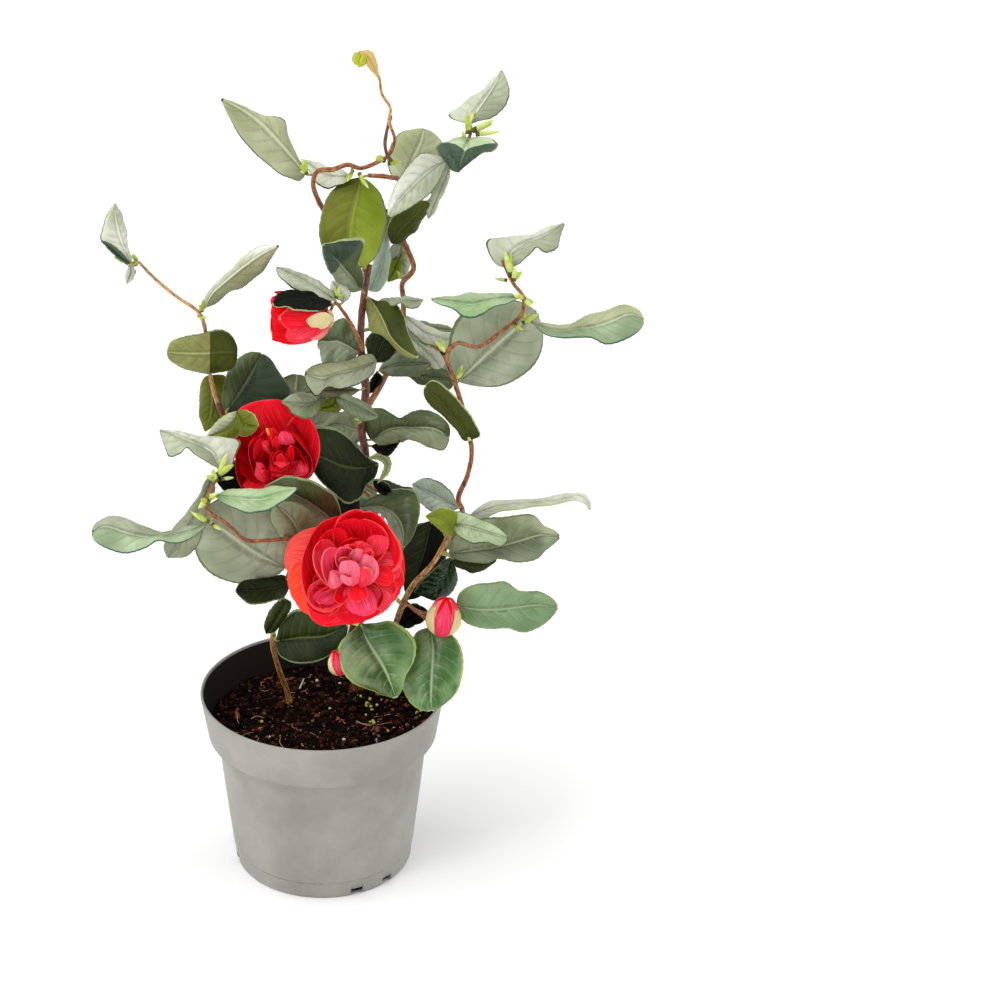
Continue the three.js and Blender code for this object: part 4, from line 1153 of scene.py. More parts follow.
BACK_SPRAYS = {
    "back_left": [
        ((-26, 92, 314), (-72, 120, 352), (0, 1, 0.6)),
        ((-24, 98, 316), (-50, 148, 306), (0, 0.5, 1)),
        ((-26, 94, 316), (-20, 118, 366), (0, 1, 0.1)),
    ],
    "back_low_left": [
        ((-10, 66, 284), (-74, 96, 252), (-0.2, 1, 0.6)),
        ((-12, 70, 286), (-34, 128, 250), (0, 0.6, 1)),
        ((-14, 66, 284), (-78, 54, 270), (0, 0.4, 1)),
    ],
    "back_centre": [
        ((44, 88, 262), (6, 124, 300), (0, 1, 0.5), (1, 1)),
        ((50, 94, 266), (24, 146, 264), (0, 0.5, 1), (-1, 1)),
        ((44, 84, 256), (20, 112, 208), (0, 1, 0.5)),
    ],
    "back_right": [
        ((86, 94, 398), (142, 112, 384), (0, 0.8, 1)),
        ((82, 92, 402), (58, 142, 392), (0, 0.5, 1)),
        ((90, 98, 394), (116, 138, 360), (0, 1, 0.8)),
    ],
    "back_low_right": [
        ((46, 74, 246), (104, 88, 236), (0, 0.8, 1)),
        ((44, 68, 240), (88, 116, 202), (0.2, 1, 0.6)),
    ],
    "back_top": [
        ((17, 28, 512), (28, 84, 506), (0, 0.5, 1), (1, 1)),
        ((14, 30, 512), (28, 80, 470), (0, 1, 0.4), (1,)),
    ],
}
BACK_TONES = ["deep", "green", "moss", "dark", "slate"]
TWIG_SHARE = 0.34
NODE_SHARES = (0.12, 0.2, 0.3)
TIP_LEAF_WIDTH = (36, 42)
SIDE_LEAF_WIDTH = (29, 37)
SIDE_LEAF_SHARE = (0.6, 0.82)
SIDE_LEAF_ANGLE = (48, 72)


def grown_leaf(target, foot, tip, face, width):
    """A leaf between two places in mm. Its midrib is the straight way arched as 4 t (1 - t), and its half
    width goes as t to the blunt times 1 - t to the taper, widest at broad."""
    part = np.linspace(0, 1, LEAF_ROWS + 2)[1:-1, None]
    reach = tip - foot
    face = unit(face - unit(reach) * (face @ unit(reach)))
    middle = foot + reach * part + face * chance.uniform(2, 6) * 4 * part * (1 - part)
    broad, blunt = chance.uniform(0.42, 0.52), chance.uniform(0.5, 0.62)
    taper = blunt * (1 - broad) / broad
    half = width / 2 * part**blunt * (1 - part) ** taper / (broad**blunt * (1 - broad) ** taper)
    out = np.cross(unit(reach), face)
    drop = face * half * chance.uniform(-0.15, 0.3)
    tone = BACK_TONES[int(chance.integers(len(BACK_TONES)))]
    bulge, ripple = chance.uniform(0.8, 2), chance.uniform(0.8, 1.8)
    left, right = middle - out * half + drop, middle + out * half + drop
    leaf_blade(target, middle, left, right, face, tone, "grey", None, bulge=bulge, ripple=ripple)
    grow_stalk(middle[0], unit(reach))


def grow_spray(target, foot, tip, face, turns=(-1, 1, -1)):
    """The branching rule: a twig sets off for the tip and wanders, leaves stand at its nodes on alternate
    sides, each at a seeded angle and shorter than the last leaf, which ends at the tip."""
    foot, tip, face = np.array(foot, float), np.array(tip, float), unit(np.array(face, float))
    reach = tip - foot
    size = np.linalg.norm(reach)
    end = foot + reach * TWIG_SHARE
    grow_twig([foot - unit(reach) * 2, foot + reach * 0.15 + chance.normal(0, 1.2, 3), end], 1.5, 1.1)
    aside = unit(np.cross(reach, face))
    grown_leaf(target, end, tip, face, chance.uniform(*TIP_LEAF_WIDTH))
    for node, turn in zip(NODE_SHARES, turns):
        angle = math.radians(chance.uniform(*SIDE_LEAF_ANGLE))
        way = unit(reach) * math.cos(angle) + turn * aside * math.sin(angle)
        start = foot + reach * node
        looks = unit(face + turn * aside * 0.25 + chance.normal(0, 0.12, 3))
        leaf_tip = start + way * size * chance.uniform(*SIDE_LEAF_SHARE)
        grown_leaf(target, start + way * 4, leaf_tip, looks, chance.uniform(*SIDE_LEAF_WIDTH))


def make_back_leaves():
    """A joined piece of leaves for each mass at the back, grown by the branching rule."""
    for mass, sprays in BACK_SPRAYS.items():
        target = Joined()
        for spray in sprays:
            grow_spray(target, *spray)
        target.write(mass + "_leaves", "foliage", ["leaves_" + mass])


# Blooms

PHOTO_RUFFLE = 1.5
RING_RUFFLE = 0.8
SEPAL_THICKNESS = 0.8
BUD_PETAL_THICKNESS = 0.5


class Bloom:
    """A flower at a place, looking one way. Its petals' turns are measured round that way, from the
    right and anticlockwise as the viewer sees them."""

    def __init__(self, centre, looks):
        self.centre = np.asarray(centre, float)
        self.axis = seen(*looks)
        self.east = unit(np.cross(ABOVE, self.axis))
        self.north = np.cross(self.axis, self.east)
        self.mesh = Joined()

    def add_petal(self, lines, toward, finish, cup, ruffle, edge, thick=PETAL_THICKNESS):
        """A petal on three lines: cup mm of bulge across it, away from the viewer if below 0, and a
        ruffle that grows towards its margin and tip."""
        middle, left, right = lines
        rows = len(middle)
        part = np.linspace(0, 1, rows)[:, None]
        share = np.abs(ACROSS)[None, :]
        drift = chance.uniform(0, 6.28, 3)
        waves = np.sin(5 * ACROSS[None, :] + 3 * part + drift[0]) + 0.6 * np.sin(9 * ACROSS + drift[1])
        offset = cup * (1 - share**2) * np.sin(math.pi * part) ** 0.7
        offset = offset + ruffle * part**1.6 * waves * (0.25 + 0.75 * share) * np.sin(math.pi * part) ** 0.4
        depth = thick * (1 - 0.45 * part) + 0 * share
        rings, places = blade_rings(middle, left, right, toward, offset, depth)
        self.mesh.add(rings, blade_finishes(rows, finish, finish, edge), places)

    def photo_petal(self, finish="red", cup=2.5, ruffle=0.7, edge="edge", **outline):
        """A petal that the photo shows, from its outline there."""
        lines = photo_lines(PETAL_ROWS, **outline)
        toward = unit(CAMERA_PLACE - lines[0].mean(0))
        finish, edge = named("petal_", (finish, edge))
        self.add_petal(lines, toward, finish, cup, ruffle * PHOTO_RUFFLE, edge)

    def ring_petal(self, turn, length, width, rise, end, finish, cup, root, ruffle=RING_RUFFLE,
                   thick=PETAL_THICKNESS):
        """A petal whose spine leaves the axis at rise degrees above the flower's plane and bends to end,
        from its root's place out from the centre and up the axis. Its half width is the square root of
        the sine of the way along to the 0.8."""
        part = np.linspace(0, 1, PETAL_ROWS + 2)[1:-1]
        angle = np.radians(rise + (end - rise) * part**1.3)
        way = math.radians(turn)
        radial = math.cos(way) * self.east + math.sin(way) * self.north
        step = length / PETAL_ROWS
        flat = root[0] + np.cumsum(np.cos(angle)) * step
        high = root[1] + np.cumsum(np.sin(angle)) * step
        middle = self.centre + flat[:, None] * radial + high[:, None] * self.axis
        face = -np.sin(angle)[:, None] * radial + np.cos(angle)[:, None] * self.axis
        side = np.cross(self.axis, radial)
        half = (width / 2 * np.sin(math.pi * part**0.8) ** 0.5)[:, None]
        lines = (middle, middle - side * half, middle + side * half)
        self.add_petal(lines, face.mean(0), finish, cup, ruffle, None, thick)

    def add_ring(self, count, step, rise, start=0, lift=0, **petal):
        """Petals a step of degrees apart round the axis. Every second one rises lift degrees more."""
        for i in range(count):
            self.ring_petal(start + i * step, rise=rise + lift * (i % 2), **petal)


# Petals that the photo shows, with points and depths as for the leaves

# Paler edge tones on these petals are painted highlights where the rims catch the light, and the deep and
# crimson petals are partly painted shade in the bloom's hollows
FRONT_PETALS = [
    # Outer petals
    dict(base=(338, 562, -78), tip=(285, 553, -72), left=(322, 588, 303, 586, 290, 575, 285, 563),
         right=(336, 533, 320, 527, 302, 531, 289, 541), finish="coral", cup=3.5),
    dict(base=(338, 578, -80), tip=(293, 598, -74), left=(350, 606, 335, 618, 318, 617, 303, 611),
         right=(315, 555, 296, 560, 288, 573, 288, 587), finish="orange", cup=3.5),
    dict(base=(345, 588, -82), tip=(325, 627, -84), left=(362, 604, 354, 621, 338, 625),
         right=(316, 600, 308, 612, 315, 622), cup=3),
    dict(base=(350, 585, -82), tip=(356, 621, -82), left=(378, 594, 384, 608, 370, 619),
         right=(326, 598, 328, 614, 340, 621), finish="crimson", cup=2),
    dict(base=(358, 578, -81), tip=(396, 594, -77), left=(378, 560, 400, 566, 404, 582),
         right=(358, 608, 372, 617, 388, 608), cup=3.5),
    dict(base=(356, 566, -81), tip=(404, 558, -76), left=(362, 534, 384, 526, 399, 541),
         right=(368, 590, 392, 594, 404, 576)),
    # Hoods that curl over the heart
    dict(base=(350, 576, -80), tip=(364, 509, -90), spine=(358, 550, 363, 526),
         left=(336, 558, 333, 534, 339, 518, 350, 511),
         right=(380, 578, 400, 566, 402, 550, 391, 529, 379, 515), deep=(-5, -11), cup=-8),
    dict(base=(345, 584, -80), tip=(332, 516, -91), spine=(326, 568, 319, 542),
         left=(332, 612, 313, 608, 303, 590, 301, 566, 306, 547, 317, 527),
         right=(360, 562, 354, 536, 344, 519), deep=(-11, 0), cup=-7, edge=("edge", None)),
    dict(base=(352, 572, -82), tip=(360, 518, -94), spine=(355, 550, 359, 532),
         left=(330, 564, 325, 542, 334, 526, 346, 520), right=(378, 562, 389, 544, 385, 530, 373, 521),
         deep=(0, -7), cup=-6, edge=(None, "edge")),
    dict(base=(346, 578, -84), tip=(334, 528, -94), left=(330, 588, 316, 574, 314, 552, 321, 536),
         right=(352, 562, 350, 542, 344, 530), deep=(-5, 0), cup=-4, edge=("red", None)),
    # Left of the heart
    dict(base=(345, 582, -86), tip=(322, 539, -95), left=(334, 589, 320, 578, 313, 562, 314, 547),
         right=(346, 566, 338, 550, 330, 540), deep=(-5, 0), finish="pink", cup=-3, edge=("blush", None)),
    dict(base=(344, 584, -88), tip=(333, 547, -101), left=(332, 589, 324, 577, 321, 562, 325, 550),
         right=(348, 572, 342, 560, 339, 550), deep=(-3, 0), finish="magenta", cup=-2.5,
         edge=("blush", "magenta"), ruffle=0.8),
    dict(base=(342, 582, -90), tip=(331, 570, -103), left=(334, 589, 328, 583), right=(344, 576, 337, 570),
         finish="rose", cup=2, ruffle=1),
    dict(base=(342, 572, -89), tip=(336, 556, -98), left=(336, 572, 334, 563), right=(345, 565, 341, 557),
         finish="deep", cup=-2, edge="crimson"),
    # Heart
    dict(base=(352, 572, -90), tip=(346, 548, -106), left=(337, 566, 336, 556, 340, 549),
         right=(356, 563, 355, 552, 350, 547), deep=(-4, -2), finish="magenta", cup=-3, edge="blush",
         ruffle=0.9),
    dict(base=(348, 566, -95), tip=(345, 557, -107), left=(341, 564, 339, 559), right=(350, 562, 349, 558),
         finish="coral", cup=-1, edge="blush", ruffle=0.6),
    dict(base=(352, 585, -90), tip=(349, 560, -110), left=(343, 581, 339, 571, 341, 563),
         right=(360, 582, 362, 571, 357, 562), finish="rose", cup=3, edge="rose", ruffle=1.3),
    dict(base=(354, 586, -89), tip=(346, 576, -108), left=(356, 582, 352, 576), right=(342, 582, 341, 577),
         finish="rose", edge="blush", ruffle=1.2),
    dict(base=(359, 586, -88), tip=(370, 555, -107), left=(358, 574, 358, 564, 363, 557),
         right=(372, 583, 379, 572, 377, 561), finish="rose", edge="rose", ruffle=1.5),
    dict(base=(358, 588, -87), tip=(366, 566, -109), left=(358, 580, 360, 571), right=(370, 584, 372, 572),
         finish="pink", cup=3.5, edge="blush", ruffle=1),
    dict(base=(356, 568, -88), tip=(361, 541, -103), left=(348, 560, 351, 549, 355, 543),
         right=(368, 559, 374, 551, 369, 543), finish="pink", edge="coral", ruffle=1.8),
    dict(base=(352, 566, -91), tip=(357, 548, -106), left=(348, 560, 350, 552), right=(362, 562, 364, 553),
         finish="rose", edge="blush", ruffle=1.6),
    dict(base=(360, 564, -90), tip=(371, 549, -105), left=(360, 555, 364, 549), right=(369, 561, 374, 554),
         finish="pink", cup=2, edge="coral", ruffle=1.5),
    dict(base=(362, 560, -86), tip=(379, 535, -100), left=(365, 548, 369, 537),
         right=(380, 555, 388, 548, 387, 538), finish="pink", edge="magenta", ruffle=1.2),
    dict(base=(350, 560, -86), tip=(353, 538, -98), left=(338, 556, 341, 543), right=(362, 555, 364, 543),
         cup=-3, edge="red", ruffle=1),
    dict(base=(348, 556, -90), tip=(350, 544, -102), left=(342, 554, 344, 547), right=(358, 554, 357, 547),
         cup=1.5, edge="coral", ruffle=1.2),
    # Right of the heart
    dict(base=(366, 566, -84), tip=(400, 547, -88), left=(374, 545, 390, 536), right=(382, 568, 397, 563),
         cup=-2.5, edge=("red", "edge"), ruffle=1.2),
    dict(base=(366, 570, -86), tip=(402, 568, -90), left=(374, 555, 386, 551, 397, 557),
         right=(378, 578, 390, 580, 399, 576), finish="pink", edge="coral", ruffle=1.3),
    dict(base=(366, 574, -88), tip=(396, 577, -95), left=(376, 565, 388, 568), right=(376, 582, 388, 585),
         edge="coral", ruffle=1.3),
    dict(base=(366, 578, -86), tip=(398, 590, -89), left=(378, 570, 392, 577), right=(374, 594, 388, 598),
         cup=-2.5, edge="coral", ruffle=1.2),
    # Below the heart
    dict(base=(366, 580, -84), tip=(391, 604, -87), left=(384, 580, 396, 590), right=(368, 600, 380, 611),
         finish="pink", edge="coral", ruffle=1),
    dict(base=(360, 582, -86), tip=(380, 607, -91), left=(374, 582, 384, 594), right=(362, 596, 370, 610),
         finish="deep", cup=-3, edge="coral", ruffle=0.8),
    dict(base=(352, 583, -87), tip=(364, 617, -97), left=(366, 586, 376, 599, 376, 611),
         right=(344, 590, 343, 601, 351, 612), finish="magenta", cup=3, edge="magenta", ruffle=0.9),
    dict(base=(354, 582, -89), tip=(359, 602, -100), left=(364, 585, 368, 597), right=(350, 588, 350, 599),
         cup=2, edge="coral", ruffle=0.9),
    dict(base=(346, 584, -88), tip=(340, 604, -97), left=(350, 592, 346, 601), right=(338, 588, 334, 598),
         finish="crimson", cup=-2.5, edge="coral", ruffle=0.8),
    dict(base=(342, 583, -85), tip=(321, 609, -96), left=(348, 590, 344, 603, 333, 609),
         right=(324, 578, 309, 588, 310, 602), deep=(-3, -4), finish="pink", cup=-6, ruffle=0.9),
    dict(base=(338, 586, -86), tip=(320, 603, -98), left=(340, 596, 332, 604), right=(322, 588, 313, 597),
         finish="magenta", cup=-3.5, edge="magenta", ruffle=0.9),
    dict(base=(336, 592, -84), tip=(314, 613, -91), left=(341, 605, 330, 615), right=(318, 594, 306, 602),
         cup=-3),
    dict(base=(336, 576, -86), tip=(319, 590, -93), left=(334, 586, 326, 592), right=(322, 572, 313, 580),
         finish="crimson", cup=-3.5, edge="coral", ruffle=0.8),
]
LEFT_PETALS = [
    # Outer petals
    dict(base=(278, 462, -38), tip=(267, 399, -46), left=(256, 446, 247, 428, 238, 411, 250, 403),
         right=(298, 442, 300, 424, 294, 410, 282, 401), deep=(-2, 3), cup=3.5, edge="pink"),
    dict(base=(286, 466, -40), tip=(307, 416, -48), left=(282, 440, 288, 424, 297, 415),
         right=(308, 479, 316, 466, 320, 447, 316, 429), deep=(2, -9), cup=-5),
    dict(base=(264, 488, -40), tip=(246, 432, -46), left=(244, 490, 237, 477, 236, 458, 238, 443),
         right=(262, 474, 256, 458, 252, 444), deep=(-9, 4), finish="deep", cup=-5, edge=("rim", None)),
    dict(base=(270, 468, -41), tip=(254, 492, -52), left=(278, 482, 270, 490), right=(250, 476, 243, 486),
         cup=3, edge="pink"),
    dict(base=(284, 462, -43), tip=(296, 481, -56), left=(306, 456, 313, 467, 308, 478),
         right=(272, 466, 276, 478, 286, 482), cup=3),
    # Left side of the cup
    dict(base=(270, 486, -45), tip=(256, 435, -56), left=(258, 480, 250, 463, 248, 446),
         right=(272, 470, 266, 454, 263, 441), deep=(-6, 0), finish="crimson", cup=-4, edge=("pink", None)),
    dict(base=(272, 478, -47), tip=(262, 437, -58), left=(262, 472, 254, 458, 254, 446),
         right=(275, 462, 271, 446), deep=(-4, 0), cup=-4, edge=("rim", None)),
    dict(base=(276, 476, -49), tip=(267, 446, -58), left=(266, 470, 261, 458), right=(278, 464, 274, 450),
         deep=(-2, 0), finish="deep", cup=-4, edge=("crimson", None)),
    dict(base=(270, 484, -51), tip=(256, 462, -62), left=(262, 482, 255, 475), right=(268, 474, 263, 464),
         finish="pink", edge="pink", ruffle=1),
    dict(base=(272, 484, -50), tip=(262, 470, -64), left=(268, 482, 262, 477), right=(270, 476, 266, 470),
         cup=1.5, ruffle=1),
    # Crumpled petals above the heart
    dict(base=(274, 456, -46), tip=(264, 430, -58), left=(263, 452, 257, 440), right=(278, 446, 272, 432),
         cup=-2, edge="red", ruffle=1.5),
    dict(base=(276, 452, -48), tip=(272, 427, -60), left=(268, 444, 267, 434), right=(282, 444, 279, 432),
         cup=2, edge="rim", ruffle=1.6),
    dict(base=(274, 450, -50), tip=(262, 442, -62), left=(270, 454, 264, 450), right=(270, 444, 266, 439),
         finish="pink", cup=1.5, edge="rim", ruffle=1.2),
    dict(base=(278, 454, -50), tip=(276, 436, -62), left=(273, 450, 272, 441), right=(282, 446, 280, 438),
         cup=1.5, edge="rim", ruffle=1.4),
    # The nest: a cup with a broad rim, a crescent and a roll
    dict(base=(292, 472, -45), tip=(284, 430, -62), spine=(296, 454, 291, 439),
         left=(276, 460, 273, 446, 276, 435), right=(310, 474, 312, 460, 302, 446, 293, 436), deep=(-2, -5),
         finish="deep", cup=-7, edge=("rim", "rim")),
    dict(base=(288, 446, -56), tip=(284, 431, -64), left=(278, 442, 279, 435), right=(295, 443, 292, 435),
         finish="magenta", cup=1, edge="pink", ruffle=0.6),
    dict(base=(290, 474, -47), tip=(292, 444, -62), left=(278, 468, 280, 452), right=(304, 470, 302, 454),
         deep=(0, -3), finish="deep", cup=-5, edge=(None, "crimson")),
    dict(base=(282, 472, -52), tip=(291, 444, -66), left=(286, 464, 287, 452), right=(292, 464, 294, 452),
         finish="crimson", cup=-1, edge=("pink", "rim")),
    dict(base=(282, 472, -53), tip=(270, 453, -65), left=(276, 470, 270, 462), right=(282, 464, 277, 455),
         finish="crimson", cup=-1.5, edge=("rim", None)),
    dict(base=(281, 470, -55), tip=(279, 451, -67), left=(274, 464, 273, 456), right=(286, 464, 286, 455),
         finish="deep", cup=-4, edge="rim"),
    dict(base=(281, 466, -57), tip=(281, 453, -68), left=(277, 463, 277, 457), right=(285, 462, 285, 457),
         cup=-2, edge="pink"),
    # Below the heart
    dict(base=(280, 462, -51), tip=(281, 476, -61), left=(294, 464, 292, 474), right=(270, 464, 271, 475),
         edge="rim", ruffle=0.9),
    dict(base=(282, 460, -54), tip=(280, 468, -66), left=(290, 463), right=(273, 462), finish="pink",
         cup=1.5, edge="rim", ruffle=0.9),
    dict(base=(292, 460, -50), tip=(300, 477, -59), left=(306, 462, 308, 472), right=(288, 466, 290, 476),
         finish="pink", edge="red", ruffle=0.9),
    dict(base=(276, 466, -49), tip=(272, 481, -57), left=(281, 474), right=(266, 472), cup=2, edge="rim",
         ruffle=0.9),
]
SIDE_PETALS = [
    dict(base=(324, 318, -36), tip=(269, 298, -42), left=(300, 322, 278, 318), right=(314, 298, 290, 291),
         finish="crimson", cup=3, edge="pink"),
    dict(base=(324, 322, -42), tip=(270, 332, -54), left=(308, 341, 290, 345, 277, 341),
         right=(304, 314, 285, 311, 271, 316), finish="crimson", cup=3),
    dict(base=(324, 318, -44), tip=(270, 309, -62), left=(312, 336, 298, 342, 283, 339, 273, 326),
         right=(316, 302, 300, 294, 279, 295), deep=(4, 6), finish="crimson", cup=6, edge="red"),
    dict(base=(324, 320, -48), tip=(283, 340, -64), left=(318, 336, 302, 344), right=(308, 316, 290, 322),
         finish="pink", cup=5, edge="crimson", ruffle=1.2),
    dict(base=(324, 318, -50), tip=(277, 318, -68), left=(308, 328, 290, 330), right=(306, 306, 288, 307),
         cup=4, edge="blush", ruffle=1.2),
    dict(base=(334, 318, -44), tip=(305, 321, -63), left=(326, 328, 314, 329), right=(325, 312, 313, 314),
         finish="sepal_pale", cup=2, edge="blush", ruffle=1.0),
    dict(base=(331, 324, -42), tip=(308, 338, -58), left=(326, 334, 318, 340), right=(320, 327, 311, 331),
         finish="blush", cup=2, edge="sepal"),
]

# Blooms: the photo point and depth of the centre, the way that they look as the photo shows it (right,
# up, near), rings of petals whose angles are in degrees, and the petals that the photo shows

SEPALS = dict(finish="sepal", ruffle=0.2, thick=SEPAL_THICKNESS)
CUP_PETALS = dict(count=5, step=72, finish="petal_crimson", cup=-3)
BLOOMS = {
    # The widest bloom: broad outer petals, a hood above, folded petals round a crumpled pink heart
    "front": dict(centre=(347, 569, -74), looks=(0.05, 0.12, 1), petals=FRONT_PETALS, rings=[
        dict(count=8, step=45, start=10, length=37, width=34, rise=-14, lift=8, end=4, finish="petal_red",
             cup=2, root=(3, -3)),
        dict(count=6, step=60, length=17, width=15, rise=-10, end=10, cup=1.5, root=(2, -6), **SEPALS),
    ]),
    # A deep red bloom with a hooded top petal, nested side petals and a rolled centre
    "left": dict(centre=(277, 448, -40), looks=(0.05, 0.1, 1), petals=LEFT_PETALS, rings=[
        dict(count=7, step=51, start=20, length=30, width=30, rise=2, lift=8, end=26, finish="petal_deep",
             cup=-3, root=(2, -3)),
        dict(count=6, step=51, start=40, length=24, width=24, rise=34, end=58, finish="petal_deep",
             cup=-4, root=(2, -2)),
        dict(count=5, step=72, length=15, width=13, rise=-5, end=15, cup=1.5, root=(2, -6), **SEPALS),
    ], stamen=[(270, 436, -54), (268, 432, -60), (267, 429, -64)]),
    # A half-open bloom seen from the side, its cup opening to the left, with sepals at its foot
    "side": dict(centre=(331, 319, -38), looks=(-1, 0.04, 0.12), petals=SIDE_PETALS, rings=[
        dict(start=20, length=42, width=28, rise=62, end=80, root=(2.5, 1), **CUP_PETALS),
        dict(start=51, length=38, width=24, rise=70, end=84, root=(1.9, 1), **CUP_PETALS),
        dict(start=82, length=30, width=18, rise=78, end=88, root=(1.3, 1), **CUP_PETALS),
        dict(count=6, step=60, start=15, length=10, width=9, rise=42, end=74, cup=1, root=(1.5, -2),
             **SEPALS),
    ]),
}
STAMEN_RADIUS = 0.9
FLOWER_BUDS = [
    dict(foot=(441, 634, -50), tip=(447, 598, -60), width=23),
    dict(foot=(341, 674, -46), tip=(335, 651, -54), width=13),
]
BUD_LAYERS = [
    dict(turns=(90, 18, 162, 234, 306), reach=1.0, spread=0.78, grow=0.35,
         tones=("petal_magenta", "petal_pink", "petal_blush")),
    dict(turns=(160, 20, 270), reach=0.86, spread=0.7, grow=0.9, tones=("sepal_pale", "sepal")),
]


def flower_bud(target, foot, tip, width):
    """A closed flower bud: an egg whose radius is half its width times the sine of the way along, to the
    0.9, raised to the 0.7. Petals lie on the egg from its foot to its tip, each a turn wide that goes as
    a like sine, and the sepals end part of the way up."""
    foot, tip = sight(*foot), sight(*tip)
    axis = unit(tip - foot)
    size = np.linalg.norm(tip - foot)
    east = unit(np.cross(axis, -AHEAD))
    north = np.cross(east, axis)
    bud = Bloom(foot, (0, 0, 1))
    bud.mesh = target

    def on_egg(part, turn, grow):
        """Points on the egg, grow mm outside it."""
        radius = width / 2 * np.sin(math.pi * np.clip(part, 0, 1) ** 0.9) ** 0.7 + grow
        spoke = np.cos(turn)[:, None] * east + np.sin(turn)[:, None] * north
        return foot + axis * (size * part)[:, None] + spoke * radius[:, None]

    part = np.linspace(0.03, 0.97, 20)
    radius = width / 2 * np.sin(math.pi * part**0.9) ** 0.7
    tube(target, foot + axis * size * part[:, None], radius, "petal_crimson", 24)
    rows = np.linspace(0.02, 0.98, PETAL_ROWS)
    for layer in BUD_LAYERS:
        tones = layer["tones"]
        wide = layer["spread"] * np.sin(math.pi * rows**0.8) ** 0.6
        for i, turn in enumerate(math.radians(degrees) for degrees in layer["turns"]):
            lines = [on_egg(rows * layer["reach"], turn + side * wide, layer["grow"]) for side in (0, 1, -1)]
            face = math.cos(turn) * east + math.sin(turn) * north
            tone, edge = tones[i % len(tones)], tones[(i + 1) % len(tones)]
            bud.add_petal(lines, face, tone, width * 0.06, 0.15, edge, BUD_PETAL_THICKNESS)


def make_blooms():
    """The three blooms that replace CAD solids, and one joined piece of flower buds."""
    for name, plan in BLOOMS.items():
        bloom = Bloom(sight(*plan["centre"]), plan["looks"])
        for ring in plan["rings"]:
            bloom.add_ring(**ring)
        for petal in plan["petals"]:
            bloom.photo_petal(**petal)
        if "stamen" in plan:
            tube(bloom.mesh, sight(*np.transpose(plan["stamen"])), STAMEN_RADIUS, "stamen", 6)
        bloom.mesh.write(name + "_bloom_petals", "petals", ["bloom_" + name])
    target = Joined()
    for bud in FLOWER_BUDS:
        flower_bud(target, **bud)
    target.write("flower_buds", "petals")


# Twigs that the photo shows between the limbs and what they carry: photo points with their depths in mm

TWIGS = {
    "side_bloom": dict(bends=[
        (363, 350, 4), (357, 335, -8), (350, 322, -18), (342, 310, -26), (335, 303, -31), (330, 312, -35)]),
    "top_right": dict(thick=1.6, thin=1.1, bends=[
        (403, 177, 20), (420, 172, 14), (436, 167, 6), (448, 160, 0), (460, 150, -4), (469, 138, -6),
        (472, 128, -6)]),
    "left_bloom": dict(bends=[
        (364, 412, 2), (348, 404, -8), (330, 402, -20), (312, 412, -32), (296, 430, -38), (285, 444, -36)]),
    "front_bloom": dict(bends=[(350, 522, 16), (346, 534, -10), (345, 552, -50), (346, 566, -72)]),
    "front_leaf": dict(bends=[(356, 614, 12), (360, 620, -20), (362, 624, -48)]),
    "large_bud": dict(bends=[(404, 601, -14), (425, 618, -40), (438, 627, -52), (443, 622, -57)]),
    "small_bud": dict(thick=1.2, thin=1.0, bends=[(360, 622, -30), (350, 640, -44), (342, 656, -50)]),
    "olive_leaf": dict(thick=1.3, thin=1.0, bends=[(226, 414, 8), (234, 417, -16), (239, 413, -44)]),
    "crown_loop": dict(thick=1.2, thin=1.3, finish="bark_old", bends=[
        (391, 116, -1), (387, 130, -9), (385, 144, -10), (387, 154, -4), (391, 160, 6)]),
}


def make_twigs():
    """Grows the twigs that the photo shows."""
    for twig in TWIGS.values():
        grow_twig(**{**twig, "bends": sight(*np.transpose(twig["bends"]))})


# Lime buds at the nodes: photo point and depth, the way they point as the photo shows it (right, up,
# near), length and width in mm, and how many scales they have

